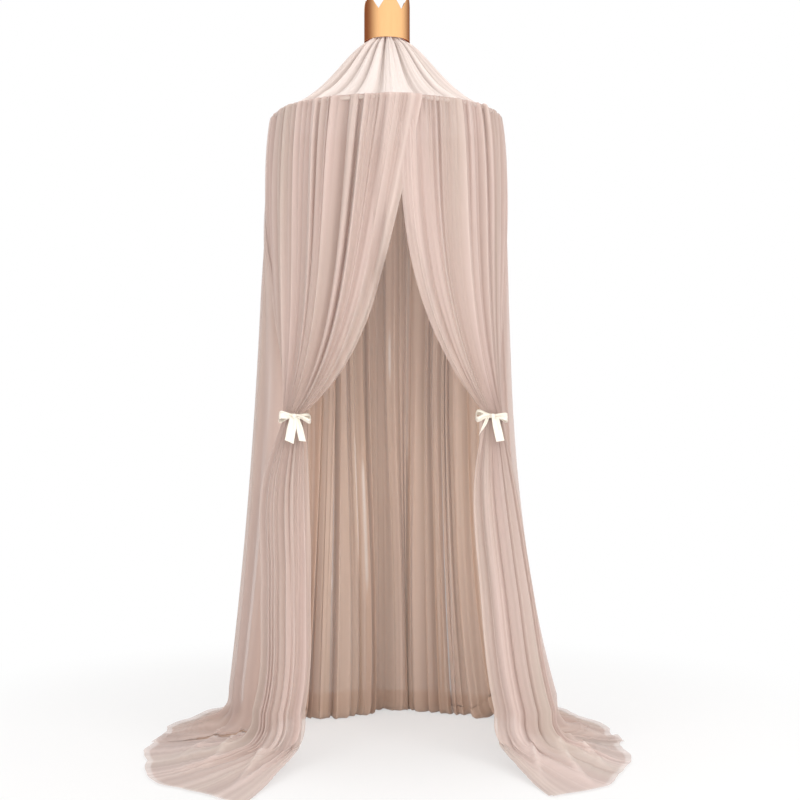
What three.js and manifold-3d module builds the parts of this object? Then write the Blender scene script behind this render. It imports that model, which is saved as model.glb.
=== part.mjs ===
// A hanging bed canopy: a gold crown on a gathered tulle cone, a jointed hoop inside a fabric casing,
// and five curtain widths that fall to the floor, the front two drawn aside by tied ribbons.
// Lengths are in millimetres and heights are measured from the floor. The front faces -Y, up is +Z.
// The finished group hangs below its origin, which is the inner top of the hanging ring.

import * as THREE from "three";
import { mergeVertices } from "three/addons/utils/BufferGeometryUtils.js";
import Module from "manifold-3d";

// Heights above the floor, and the rises from one to the next: hoop, crown's seat, neck, eye
const hoopHeight = 1650;
const tieHeight = 870;
const coneRise = 206;
const shoulderRise = 25;
const neckRise = 27;
const eyeRise = 17;

// Clearances
const seatGap = 0.3;
const slipGap = 0.5;
const cutOverrun = 2;

// Hoop: four bent rods, joined end to end by four sleeves
const hoopRadius = 295;
const rodRadius = 4;
const sleeveWall = 0.9;
const sleeveLength = 50;
const rodEndGap = 1;
const rodCount = 4;
const rodSteps = 18;
const hoopSides = 8;
const sleeveSteps = 4;

// Cloth
const clothThickness = 2.4;
const seamGap = 0.6;

// Casing: a cloth tunnel round the hoop, open at the back where the rods go in
const casingWall = 1.2;
const casingSlip = 1;
const casingMouth = 42;
const casingSteps = 48;
const casingSides = 8;

// Hanging ring and the webbing loop that holds it
const ringWireRadius = 2;
const ringRadius = 18;
const ringSteps = 28;
const ringSides = 8;
const webbingThickness = 1.2;
const webbingWidth = 10;
const webbingEyeRadius = 3.2;
const webbingEyeLength = 6;
const webbingSewnDepth = 18;
const webbingArcSteps = 8;

// Dome: the gathered cone and its bound neck
const neckRadius = 15;
const neckLength = 17;
const shoulderRadius = 32;
const domePleats = 16;
const domePleatDepth = 5;
const crownPleatShare = 0.4;
const neckPleatDepth = 1;
const domeRowShares = [0, 0.1, 0.5, 1];
const bindingThickness = 2;
const bindingWidth = 10;
const bindingSides = 32;

// Crown: one strip of sheet, bent round and lapped at the back
const crownRadius = 60.7;
const crownHeight = 118;
const crownBandHeight = 76;
const crownWall = 1;
const crownPoints = 6;
const crownTipWidth = 5;
const crownLapLength = 16;
const crownFirstTipAngle = 9;
const crownSeamPoints = 2.5;
const crownLapStartShare = 1.5;
const crownStepsInPoint = 8;
const rivetRadius = 1.6;
const rivetHeadRadius = 3.4;
const rivetHeadHeight = 1.2;
const rivetTailHeight = 1;
const rivetHeadTopShare = 0.8;
const rivetHeadCheekShare = 0.7;
const rivetEdgeDistance = 16;
const rivetSides = 16;

// Curtains
const headingPleatDepth = 2.4;
const headingBendAngle = 45;
const headingBendRise = 1.4;
const overlapStep = 10.5;
const overlapStart = 34;
const overlapRun = 36;
const freeEdgePleatShare = 0.2;
const freeEdgeStartShare = 0.5;
const freeEdgeRunShare = 0.4;
const hemRadius = 650;
const trainRidge = 15;
const kneeHeight = 12;
const dropPleats = 6;
const panelPleats = 7;
const columnsInPleat = 4;
const sideDropAngle = 88;
const billow = 24;
const billowDepth = 150;
const backSpread = 40;
const spreadPower = 1.5;
const dropPleatDepth = 24;
const kneeShare = 0.5;

// Where the rows of a side or back drop lie, as shares of its fall and then of its train
const dropRowShares = [0, 0.13, 0.4, 0.7, 0.92];
const trainRowShares = [0.14, 0.52, 1];

// How far the rows of a front panel lie between its heading and its tie
const swagRowShares = [0, 0.025, 0.2, 0.42, 0.63, 0.81, 0.94];

// The rows of a front panel below its tie, as shares of the tie's height, and how deep their folds are there
const skirtHeightShares = [0.827, 0.5, 0.18, 0.06];
const skirtPleatShares = [0.28, 0.38, 0.44, 0.44];

// Ties: a band round the gathered panel, a knot, two loops and two tails of one ribbon
const ribbonThickness = 0.8;
const ribbonWidth = 24;
const bandWidth = 20;
const knotWidth = 13;
const knotHeight = 15;
const knotDepth = 9;
const knotSides = 12;
const knotRings = 8;
const loopDepth = 8;
const loopPinch = 8;
const loopOpeningPower = 0.7;
const tailPinch = 6;
const tailLean = 7;
const tailForwardShare = 0.3;
const tailOpenShare = 0.5;
const ribbonSteps = 14;
const tailSteps = 6;
const bandSteps = 28;
const ribbonAcrossShares = [-0.5, 0, 0.5];

// What differs between the two front panels. Shares are of the hoop's radius
const leftPanel = {
  name: "left",
  sign: -1,
  tieX: 228.5,
  tieY: 200,
  tieHalfWidth: 29,
  tieHalfDepth: 22,
  tiePleatDepth: 2.6,
  swagPleatDepth: 11,
  innerAngle: -17,
  straightShare: 0.6,
  sagPower: 6,
  outerPower: 3,
  sideSpread: 92,
  skirtCentreShares: [0.842, 0.846, 0.89, 0.985],
  skirtHalfWidthShares: [0.19, 0.21, 0.215, 0.235],
  skirtHalfDepthShares: [0.15, 0.19, 0.24, 0.28],
  skirtForwardShares: [0.66, 0.64, 0.625, 0.61],
  hemOuterAngle: 86,
  hemInnerAngle: 29,
  loopOutward: 39,
  loopInward: 40,
  tailOutward: { length: 62, width: 21, lean: 1 },
  tailInward: { length: 56, width: 16, lean: 1.4 },
};
const rightPanel = {
  name: "right",
  sign: 1,
  tieX: 266,
  tieY: 200,
  tieHalfWidth: 25,
  tieHalfDepth: 22,
  tiePleatDepth: 2.6,
  swagPleatDepth: 11,
  innerAngle: 6,
  straightShare: 0,
  sagPower: 3,
  outerPower: 3,
  sideSpread: 122,
  skirtCentreShares: [0.915, 1.02, 1.16, 1.26],
  skirtHalfWidthShares: [0.17, 0.225, 0.255, 0.265],
  skirtHalfDepthShares: [0.15, 0.19, 0.24, 0.28],
  skirtForwardShares: [0.66, 0.64, 0.6, 0.58],
  hemOuterAngle: 86,
  hemInnerAngle: 33,
  loopOutward: 42,
  loopInward: 42,
  tailOutward: { length: 60, width: 22, lean: 1.2 },
  tailInward: { length: 44, width: 11, lean: 1.6 },
};

// The gathered panel closes round its middle from the back, past the outside and the front, to its free edge
const bundleStartAngle = 95;
const bundleEndAngle = 345;

// Sizes that follow from those above
const crownSeatHeight = hoopHeight + coneRise;
const shoulderHeight = crownSeatHeight + shoulderRise;
const neckTopHeight = shoulderHeight + neckRise;
const hingeHeight = neckTopHeight + eyeRise;
const hangHeight = hingeHeight + 2 * ringRadius - ringWireRadius;
const sleeveInnerRadius = rodRadius + slipGap;
const sleeveRadius = sleeveInnerRadius + sleeveWall;
const casingInnerRadius = sleeveRadius + casingSlip;
const casingRadius = casingInnerRadius + casingWall;
const casingOutside = hoopRadius + casingRadius;
const halfCloth = clothThickness / 2;
const headingRadius = casingOutside + seatGap + halfCloth + headingPleatDepth;
// The curtains' headings bend inwards over the casing, to the seam on its top
const headingBendReach = casingRadius + seatGap + halfCloth + headingBendRise;
const seamAngle = THREE.MathUtils.radToDeg(seamGap / headingRadius);
// The cone's line runs from the crown's seat to the middle of the hoop, and ends at the casing
const domeSlope = Math.atan2(coneRise, hoopRadius - crownRadius);
const casingFacetRise = hoopRadius * (1 - Math.cos(Math.PI / casingSteps));
const domeRimReach = casingRadius + casingFacetRise + seatGap;
const domeRimRadius = hoopRadius - domeRimReach * Math.cos(domeSlope);
const domeRimHeight = hoopHeight + domeRimReach * Math.sin(domeSlope);

const wasm = await Module();
wasm.setup();

const radians = THREE.MathUtils.degToRad;
const mix = THREE.MathUtils.lerp;

// Materials
const tulle = new THREE.MeshStandardMaterial({ color: 0xd9bfb5, roughness: 0.9, side: THREE.DoubleSide });
const domeTulle = new THREE.MeshStandardMaterial({ color: 0xf3e4dd, roughness: 0.9 });
const satin = new THREE.MeshStandardMaterial({ color: 0xfffaf0, roughness: 0.4 });
const webbing = new THREE.MeshStandardMaterial({ color: 0xefe6df, roughness: 0.85 });
const gold = new THREE.MeshStandardMaterial({ color: 0xe0a56b, roughness: 0.3, metalness: 1 });
const steel = new THREE.MeshStandardMaterial({ color: 0xb8bbbf, roughness: 0.35, metalness: 1 });
const fibreglass = new THREE.MeshStandardMaterial({ color: 0xf2f2ee, roughness: 0.5 });

function mesh(name, geometry, material) {
  const piece = new THREE.Mesh(geometry, material);
  piece.name = name;
  return piece;
}

// A closed solid from its corner points and its triangles.
function solidGeometry(points, triangles) {
  const geometry = new THREE.BufferGeometry();
  const numbers = points.flatMap((point) => point.toArray());
  geometry.setAttribute("position", new THREE.Float32BufferAttribute(numbers, 3));
  geometry.setIndex(triangles);
  geometry.computeVertexNormals();
  return geometry;
}

// The direction across a sheet at one grid point, from the neighbours before and after it both ways.
function sheetNormal(grid, row, column, ring) {
  const columns = grid[0].length;
  const before = ring ? (column + columns - 1) % columns : Math.max(column - 1, 0);
  const after = ring ? (column + 1) % columns : Math.min(column + 1, columns - 1);
  const across = grid[row][after].clone().sub(grid[row][before]);
  const down = grid[Math.min(row + 1, grid.length - 1)][column].clone();
  down.sub(grid[Math.max(row - 1, 0)][column]);
  return down.cross(across).normalize();
}

// A sheet of cloth, ribbon or metal with a thickness. The grid holds rows of points on its middle surface,
// and the outer face is on the side of (down a column) x (along a row). A ring sheet closes on itself along
// its rows. Rows from firstFlatRow on lie on the floor, with their lower face at the height of the points.
function sheetSolid(grid, thicknessOf, { ring = false, firstFlatRow = Infinity, floor = -Infinity } = {}) {
  const rows = grid.length;
  const columns = grid[0].length;
  const points = [];
  for (const face of [1, -1]) {
    grid.forEach((line, row) => {
      line.forEach((middle, column) => {
        const flat = row >= firstFlatRow;
        const normal = flat ? new THREE.Vector3(0, 0, 1) : sheetNormal(grid, row, column, ring);
        const half = thicknessOf(row, column) / 2;
        const lift = flat ? half : 0;
        const point = middle.clone().addScaledVector(normal, face * half);
        point.z = Math.max(point.z + lift, floor);
        points.push(point);
      });
    });
  }
  const at = (face, row, column) => (face * rows + row) * columns + (column % columns);
  const triangles = [];
  const quad = (a, b, c, d) => triangles.push(a, b, c, a, c, d);
  const lastColumn = ring ? columns : columns - 1;
  for (let column = 0; column < lastColumn; column++) {
    for (let row = 0; row < rows - 1; row++) {
      const [next, below] = [column + 1, row + 1];
      quad(at(0, row, column), at(0, below, column), at(0, below, next), at(0, row, next));
      quad(at(1, row, column), at(1, row, next), at(1, below, next), at(1, below, column));
    }
    quad(at(0, 0, column), at(0, 0, column + 1), at(1, 0, column + 1), at(1, 0, column));
    const end = rows - 1;
    quad(at(0, end, column), at(1, end, column), at(1, end, column + 1), at(0, end, column + 1));
  }
  if (!ring) {
    for (let row = 0; row < rows - 1; row++) {
      quad(at(0, row, 0), at(1, row, 0), at(1, row + 1, 0), at(0, row + 1, 0));
      const [last, below] = [lastColumn, row + 1];
      quad(at(0, row, last), at(0, below, last), at(1, below, last), at(1, row, last));
    }
  }
  return solidGeometry(points, triangles);
}

// Turns a geometry into a solid that can be cut, and back.
function toSolid(geometry) {
  const bare = geometry.clone();
  bare.deleteAttribute("normal");
  bare.deleteAttribute("uv");
  const merged = mergeVertices(bare);
  const vertProperties = Float32Array.from(merged.getAttribute("position").array);
  const triVerts = Uint32Array.from(merged.index.array);
  return new wasm.Manifold(new wasm.Mesh({ numProp: 3, vertProperties, triVerts }));
}

function fromSolid(solid) {
  const { vertProperties, triVerts } = solid.getMesh();
  const geometry = new THREE.BufferGeometry();
  const positions = new THREE.BufferAttribute(Float32Array.from(vertProperties), 3);
  geometry.setAttribute("position", positions);
  geometry.setIndex(new THREE.BufferAttribute(Uint32Array.from(triVerts), 1));
  geometry.computeVertexNormals();
  return geometry;
}

// A point on a level circle about the canopy's axis. Angle 0 is the front, and angles grow towards +X.
function aroundAxis(radius, angle, height) {
  return new THREE.Vector3(radius * Math.sin(radians(angle)), -radius * Math.cos(radians(angle)), height);
}

// Rises from 0 to 1 as value goes from start to start + run.
function ramp(value, start, run) {
  return THREE.MathUtils.smoothstep(value, start, start + run);
}

const range = (count) => Array.from({ length: count }, (_, index) => index);

// The fold across a sheet at one column: 0, crest, 0, trough in turn.
const foldWave = (column) => Math.sin((Math.PI * 2 * column) / columnsInPleat);

// Hoop

class HoopArc extends THREE.Curve {
  constructor(startAngle, endAngle) {
    super();
    this.startAngle = startAngle;
    this.endAngle = endAngle;
  }

  getPoint(t, target = new THREE.Vector3()) {
    return target.copy(aroundAxis(hoopRadius, mix(this.startAngle, this.endAngle, t), hoopHeight));
  }
}

function circleShape(radius) {
  const corners = range(hoopSides).map((side) => {
    const turn = (side * 2 * Math.PI) / hoopSides;
    return new THREE.Vector2(radius * Math.cos(turn), radius * Math.sin(turn));
  });
  return new THREE.Shape(corners);
}

const hoopAngle = (length) => THREE.MathUtils.radToDeg(length / hoopRadius);

function makeHoop() {
  const quarter = 360 / rodCount;
  const endGap = hoopAngle(rodEndGap);
  return range(rodCount).flatMap((index) => {
    const joint = quarter * (index + 0.5);
    const rodArc = new HoopArc(joint + endGap / 2, joint + quarter - endGap / 2);
    const rod = new THREE.ExtrudeGeometry(circleShape(rodRadius), { steps: rodSteps, extrudePath: rodArc });
    const sleeveShape = circleShape(sleeveRadius);
    sleeveShape.holes.push(circleShape(sleeveInnerRadius));
    const halfSleeve = hoopAngle(sleeveLength) / 2;
    const sleeveArc = new HoopArc(joint - halfSleeve, joint + halfSleeve);
    const sleeve = new THREE.ExtrudeGeometry(sleeveShape, { steps: sleeveSteps, extrudePath: sleeveArc });
    return [
      mesh(`hoop_rod_${index + 1}`, rod, fibreglass),
      mesh(`hoop_sleeve_${index + 1}`, sleeve, steel),
    ];
  });
}

// A round tunnel along the hoop, from one side of its mouth at the back round to the other.
function makeCasing() {
  const mouth = hoopAngle(casingMouth);
  const middle = casingInnerRadius + casingWall / 2;
  const grid = range(casingSteps + 1).map((step) => {
    const angle = mix(180 + mouth / 2, 540 - mouth / 2, step / casingSteps);
    return range(casingSides).map((side) => {
      const turn = (-side * 2 * Math.PI) / casingSides;
      return aroundAxis(hoopRadius + middle * Math.cos(turn), angle, hoopHeight + middle * Math.sin(turn));
    });
  });
  return mesh("hoop_casing", sheetSolid(grid, () => casingWall, { ring: true }), tulle);
}

// Dome

// The cone runs straight from its rim, on the casing, up to the crown, and then draws in to the neck.
const webbingPly = webbingThickness + seatGap / 2;
const webbingHoleRadius = Math.hypot(webbingWidth / 2, webbingPly) + neckPleatDepth + seatGap;
const neckWall = neckRadius - webbingHoleRadius;
const neckMiddleRadius = neckRadius - neckWall / 2;
const neckBaseHeight = neckTopHeight - neckLength;

function domeRows() {
  const cone = domeRowShares.map((share) => ({
    radius: mix(domeRimRadius, crownRadius, share),
    height: mix(domeRimHeight, crownSeatHeight, share),
    thickness: clothThickness,
    pleat: domePleatDepth * mix(1, crownPleatShare, share) * Math.min(share / domeRowShares[1], 1),
  }));
  const shoulder = {
    radius: shoulderRadius,
    height: shoulderHeight,
    thickness: clothThickness,
    pleat: domePleatDepth * crownPleatShare,
  };
  const neck = [neckBaseHeight, neckTopHeight].map((height) => ({
    radius: neckMiddleRadius,
    height,
    thickness: neckWall,
    pleat: neckPleatDepth,
  }));
  return [...cone, shoulder, ...neck];
}

function makeDome() {
  const rows = domeRows();
  const columns = domePleats * columnsInPleat;
  const grid = rows.map((row) =>
    range(columns).map((column) => {
      const outward = row.pleat * foldWave(column) * Math.sin(domeSlope);
      const upward = row.pleat * foldWave(column) * Math.cos(domeSlope);
      return aroundAxis(row.radius + outward, (360 * column) / columns, row.height + upward);
    }),
  );
  grid.reverse();
  const thicknesses = rows.map((row) => row.thickness).reverse();
  return mesh("dome_cone", sheetSolid(grid, (row) => thicknesses[row], { ring: true }), domeTulle);
}

function makeNeckBinding() {
  const inner = neckRadius + neckPleatDepth + seatGap;
  const outer = inner + bindingThickness;
  const bottom = mix(neckBaseHeight, neckTopHeight, 0.5) - bindingWidth / 2;
  const top = bottom + bindingWidth;
  const section = [
    [inner, bottom],
    [outer, bottom],
    [outer, top],
    [inner, top],
    [inner, bottom],
  ].map(([radius, height]) => new THREE.Vector2(radius, height));
  const binding = new THREE.LatheGeometry(section, bindingSides);
  binding.rotateX(Math.PI / 2);
  return mesh("neck_binding", binding, webbing);
}

// Hanging ring and webbing

function makeRing() {
  const ring = new THREE.TorusGeometry(ringRadius, ringWireRadius, ringSides, ringSteps);
  ring.rotateX(Math.PI / 2);
  ring.translate(0, 0, hangHeight - ringRadius + ringWireRadius);
  return mesh("hanging_ring", ring, steel);
}

// A strap doubled over the ring's wire: an eye above, and two plies sewn together below it.
function makeWebbing() {
  const outer = webbingEyeRadius + webbingThickness;
  const end = -eyeRise - webbingSewnDepth;
  const outline = new THREE.Shape();
  outline.absarc(0, 0, outer, 0, Math.PI, false);
  outline.lineTo(-webbingPly, -webbingEyeLength);
  outline.lineTo(-webbingThickness, end);
  outline.lineTo(webbingThickness, end);
  outline.lineTo(webbingPly, -webbingEyeLength);
  outline.closePath();
  const eye = new THREE.Path();
  eye.absarc(0, 0, webbingEyeRadius, 0, Math.PI, false);
  eye.lineTo(0, -webbingEyeLength);
  eye.closePath();
  outline.holes.push(eye);
  const strap = new THREE.ExtrudeGeometry(outline, {
    depth: webbingWidth,
    bevelEnabled: false,
    curveSegments: webbingArcSteps,
  });
  strap.translate(0, 0, -webbingWidth / 2);
  strap.rotateX(Math.PI / 2);
  strap.rotateZ(Math.PI / 2);
  strap.translate(0, 0, hingeHeight);
  return mesh("hanging_webbing", strap, webbing);
}

// Crown

const crownMiddle = crownRadius - crownWall / 2;
const crownPitch = 360 / crownPoints;
const crownHalfTip = THREE.MathUtils.radToDeg(crownTipWidth / 2 / crownRadius);
const crownRise = crownPitch / 2 - crownHalfTip;
const crownSeamAngle = crownFirstTipAngle + crownPitch * crownSeamPoints;
const crownLapAngle = THREE.MathUtils.radToDeg(crownLapLength / crownRadius);
const crownLapStep = crownWall + seatGap;
// The cone's pleat crests carry the crown's rim, so the rim clears a crest at the rim's inner corner
const domeCrest = halfCloth + domePleatDepth * crownPleatShare;
const crestRise = (domeCrest + seatGap) / Math.cos(domeSlope);
const crownBottom = crownSeatHeight + crestRise + crownWall * Math.tan(domeSlope);

// Height of the crown's upper edge: straight flanks that rise from a valley to a short flat tip.
function crownEdge(angle) {
  const pastValley = THREE.MathUtils.euclideanModulo(angle - crownSeamAngle, crownPitch);
  const fromValley = Math.min(pastValley, crownPitch - pastValley);
  return mix(crownBandHeight, crownHeight, Math.min(fromValley / crownRise, 1));
}

// The strip's stations round the crown: the valleys, the tip corners and even steps between them.
function crownAngles() {
  const flank = crownStepsInPoint / 2;
  const angles = [crownSeamAngle - crownLapAngle / 2];
  for (let point = 0; point < crownPoints; point++) {
    const valley = crownSeamAngle + point * crownPitch;
    const descent = valley + crownPitch - crownRise;
    range(flank + 1).forEach((step) => angles.push(valley + (crownRise * step) / flank));
    range(flank).forEach((step) => angles.push(descent + (crownRise * step) / flank));
  }
  angles.push(crownSeamAngle + 360, crownSeamAngle + 360 + crownLapAngle / 2);
  return angles;
}

function makeCrownParts() {
  const lapStart = crownSeamAngle + 360 - crownLapAngle * crownLapStartShare;
  const rowShares = [1, 0.5, 0];
  const angles = crownAngles();
  const radiusAt = (angle) => crownMiddle + crownLapStep * ramp(angle, lapStart, crownLapAngle);
  const grid = rowShares.map((share) =>
    angles.map((angle) => aroundAxis(radiusAt(angle), angle, crownBottom + share * crownEdge(angle))),
  );
  let band = toSolid(sheetSolid(grid, () => crownWall));
  const lapMiddle = crownMiddle + crownLapStep / 2;
  const rivets = ["lower", "upper"].map((place) => {
    const height = place === "lower" ? rivetEdgeDistance : crownBandHeight - rivetEdgeDistance;
    return { place, centre: aroundAxis(lapMiddle, crownSeamAngle, crownBottom + height) };
  });
  const placed = (geometry, centre) => {
    geometry.rotateZ(Math.PI + radians(crownSeamAngle));
    geometry.translate(centre.x, centre.y, centre.z);
    return geometry;
  };
  const pieces = rivets.map(({ place, centre }) => {
    const holeRadius = rivetRadius + seatGap;
    const holeLength = 2 * crownLapStep + 2 * cutOverrun;
    const drill = new THREE.CylinderGeometry(holeRadius, holeRadius, holeLength, rivetSides);
    band = band.subtract(toSolid(placed(drill, centre)));
    const innerFace = -crownLapStep / 2 - crownWall / 2 - seatGap;
    const outerFace = crownLapStep / 2 + crownWall / 2 + seatGap;
    const profile = [
      [0, innerFace - rivetTailHeight],
      [rivetHeadRadius * rivetHeadTopShare, innerFace - rivetTailHeight],
      [rivetHeadRadius, innerFace],
      [rivetRadius, innerFace],
      [rivetRadius, outerFace],
      [rivetHeadRadius, outerFace],
      [rivetHeadRadius * rivetHeadTopShare, outerFace + rivetHeadHeight * rivetHeadCheekShare],
      [0, outerFace + rivetHeadHeight],
    ].map(([radius, reach]) => new THREE.Vector2(radius, reach));
    const rivet = new THREE.LatheGeometry(profile, rivetSides);
    return mesh(`crown_rivet_${place}`, placed(rivet, centre), gold);
  });
  return [mesh("crown_band", fromSolid(band), gold), ...pieces];
}

// Side and back curtains

// How far the foot of the drop stands out from its heading, growing from the back round to each side.
function spreadAt(angle) {
  const side = angle < 180 ? rightPanel : leftPanel;
  return mix(backSpread, side.sideSpread, Math.sin(radians(angle)) ** 2);
}

// The top edge of a curtain, where it has bent inwards over the casing.
function headingEdge(angle) {
  const bend = radians(headingBendAngle);
  const edgeRadius = hoopRadius + headingBendReach * Math.cos(bend);
  return aroundAxis(edgeRadius, angle, hoopHeight + headingBendReach * Math.sin(bend));
}

// The radius of the drop's middle surface at an angle and a share of its height down from the heading.
function dropRadius(angle, share) {
  const fall = share * hoopHeight;
  const puff = billow * (1 - Math.exp(-fall / billowDepth)) * (1 - share);
  return headingRadius + puff + spreadAt(angle) * share ** spreadPower;
}

function makeDrop(name, startAngle, endAngle) {
  const columns = dropPleats * columnsInPleat;
  const angles = range(columns + 1).map((column) => mix(startAngle, endAngle, column / columns));
  const hanging = dropRowShares.map((share) =>
    angles.map((angle, column) => {
      const fold = mix(headingPleatDepth, dropPleatDepth, Math.sqrt(share)) * foldWave(column);
      return aroundAxis(dropRadius(angle, share) + fold, angle, hoopHeight * (1 - share));
    }),
  );
  const knee = angles.map((angle, column) =>
    aroundAxis(dropRadius(angle, 1) + dropPleatDepth * foldWave(column), angle, kneeHeight),
  );
  const train = trainRowShares.map((share) =>
    angles.map((angle, column) => {
      const fold = dropPleatDepth * foldWave(column) * (1 - share);
      const ridge = trainRidge * Math.max(foldWave(column), 0);
      return aroundAxis(mix(dropRadius(angle, 1), hemRadius, share) + fold, angle, ridge);
    }),
  );
  const grid = [angles.map(headingEdge), ...hanging, knee, ...train];
  const firstFlatRow = grid.length - train.length;
  return mesh(name, sheetSolid(grid, () => clothThickness, { firstFlatRow, floor: 0 }), tulle);
}

function makeDrops() {
  const width = (360 - 2 * sideDropAngle) / 3;
  return ["curtain_right_side", "curtain_back", "curtain_left_side"].map((name, index) => {
    const start = sideDropAngle + index * width;
    return makeDrop(name, start + seamAngle / 2, start + width - seamAngle / 2);
  });
}

// Front panels

const tieTop = tieHeight + bandWidth / 2 + seatGap;
const tieBottom = tieHeight - bandWidth / 2 - seatGap;

// A point of a gathered section in plan, an open ellipse from the back past the front to the free edge.
function sectionPoint(panel, section, edge) {
  const turn = radians(mix(bundleStartAngle, bundleEndAngle, edge));
  const x = section.centreX - section.halfWidth * Math.cos(turn);
  const y = -section.forward + section.halfDepth * Math.sin(turn);
  return new THREE.Vector2(panel.sign * x, y);
}

const tieSection = (panel) => ({
  centreX: panel.tieX,
  forward: panel.tieY,
  halfWidth: panel.tieHalfWidth,
  halfDepth: panel.tieHalfDepth,
});

const skirtSection = (panel, index) => ({
  centreX: hoopRadius * panel.skirtCentreShares[index],
  forward: hoopRadius * panel.skirtForwardShares[index],
  halfWidth: hoopRadius * panel.skirtHalfWidthShares[index],
  halfDepth: hoopRadius * panel.skirtHalfDepthShares[index],
});

// Where the panel's heading lies round the hoop, from its outer edge to its free edge.
const panelAngle = (panel, edge) => panel.sign * mix(sideDropAngle - seamAngle / 2, panel.innerAngle, edge);

// A point of the panel between heading and tie. Its outer edge leaves the hoop late, and its free edge early.
function swagPoint(panel, edge, share) {
  const top = aroundAxis(headingRadius, panelAngle(panel, edge), 0);
  const bottom = sectionPoint(panel, tieSection(panel), edge);
  const outer = share ** panel.outerPower;
  const inner = panel.straightShare * share + (1 - panel.straightShare) * share ** panel.sagPower;
  const weight = mix(outer, inner, edge);
  return new THREE.Vector2(mix(top.x, bottom.x, weight), mix(top.y, bottom.y, weight));
}

// The same point pushed out or in by its fold, square to the line that the panel follows in plan.
function foldedPoint(panel, planPoint, edge, column, depth) {
  const step = 1 / (panelPleats * columnsInPleat);
  const before = planPoint(Math.max(edge - step, 0));
  const after = planPoint(Math.min(edge + step, 1));
  const along = after.sub(before).normalize();
  const outward = new THREE.Vector2(-panel.sign * along.y, panel.sign * along.x);
  const fading = mix(1, freeEdgePleatShare, ramp(edge, freeEdgeStartShare, freeEdgeRunShare));
  return planPoint(edge).addScaledVector(outward, depth * fading * foldWave(column));
}

// Where the left panel crosses the right one at the top of the opening, it lies in front of it.
function lapOver(point) {
  const front = -Math.sqrt(headingRadius ** 2 - Math.max(point.x, -overlapStart) ** 2) - overlapStep;
  return point.setY(mix(point.y, Math.min(front, point.y), ramp(point.x, -overlapStart, overlapRun)));
}

function makePanel(panel) {
  const columns = panelPleats * columnsInPleat;
  const edges = range(columns + 1).map((column) => (panel.sign < 0 ? column : columns - column) / columns);
  const rowAt = (height, depth, planPoint) =>
    edges.map((edge, column) => {
      const place = foldedPoint(panel, planPoint, edge, column, depth);
      return new THREE.Vector3(place.x, place.y, height);
    });
  const swag = swagRowShares.map((share) => {
    const depth = mix(headingPleatDepth, panel.swagPleatDepth, Math.sin(Math.PI * share));
    return rowAt(mix(hoopHeight, tieTop, share), depth, (edge) => swagPoint(panel, edge, share));
  });
  const heading = edges.map((edge) => headingEdge(panelAngle(panel, edge)));
  const drawn = [heading, ...swag].map((line) => (panel === leftPanel ? line.map(lapOver) : line));
  const tied = [tieTop, tieBottom].map((height) =>
    rowAt(height, panel.tiePleatDepth, (edge) => sectionPoint(panel, tieSection(panel), edge)),
  );
  const skirt = skirtHeightShares.map((share, index) => {
    const section = skirtSection(panel, index);
    const depth = section.halfDepth * skirtPleatShares[index];
    return rowAt(tieHeight * share, depth, (edge) => sectionPoint(panel, section, edge));
  });
  const foot = skirt[skirt.length - 1];
  const hem = edges.map((edge) =>
    aroundAxis(hemRadius, panel.sign * mix(panel.hemOuterAngle, panel.hemInnerAngle, edge), 0),
  );
  const train = trainRowShares.map((share) =>
    foot.map((point, column) => {
      const place = point.clone().lerp(hem[column], share);
      place.z = trainRidge * Math.max(foldWave(column), 0);
      return place;
    }),
  );
  const knee = foot.map((point, column) => point.clone().lerp(train[0][column], kneeShare).setZ(kneeHeight));
  const grid = [...drawn, ...tied, ...skirt, knee, ...train];
  const firstFlatRow = grid.length - train.length;
  const name = `curtain_front_${panel.name}`;
  return mesh(name, sheetSolid(grid, () => clothThickness, { firstFlatRow, floor: 0 }), tulle);
}

// Ties

function makeTie(panel) {
  const reach = panel.tiePleatDepth + halfCloth + seatGap + ribbonThickness / 2;
  const halfWidth = panel.tieHalfWidth + reach;
  const halfDepth = panel.tieHalfDepth + reach;
  const centreX = panel.sign * panel.tieX;
  const band = [bandWidth / 2, -bandWidth / 2].map((rise) =>
    range(bandSteps).map((step) => {
      const turn = (step * 2 * Math.PI) / bandSteps;
      const x = centreX + halfWidth * Math.cos(turn);
      return new THREE.Vector3(x, -panel.tieY + halfDepth * Math.sin(turn), tieHeight + rise);
    }),
  );
  const bandFront = panel.tieY + halfDepth + ribbonThickness / 2;
  const knotCentre = new THREE.Vector3(centreX, -bandFront - seatGap - knotDepth / 2, tieHeight);
  const knot = new THREE.SphereGeometry(1, knotSides, knotRings);
  knot.rotateX(Math.PI / 2);
  knot.scale(knotWidth / 2, knotDepth / 2, knotHeight / 2);
  knot.translate(knotCentre.x, knotCentre.y, knotCentre.z);
  const name = (piece) => `tie_${panel.name}_${piece}`;
  return [
    mesh(name("band"), sheetSolid(band, () => ribbonThickness, { ring: true }), satin),
    mesh(name("knot"), knot, satin),
    mesh(name("loop_outer"), loopSolid(knotCentre, panel.sign, panel.loopOutward), satin),
    mesh(name("loop_inner"), loopSolid(knotCentre, -panel.sign, panel.loopInward), satin),
    mesh(name("tail_outer"), tailSolid(knotCentre, panel.sign, panel.tailOutward), satin),
    mesh(name("tail_inner"), tailSolid(knotCentre, -panel.sign, panel.tailInward), satin),
  ];
}

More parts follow.
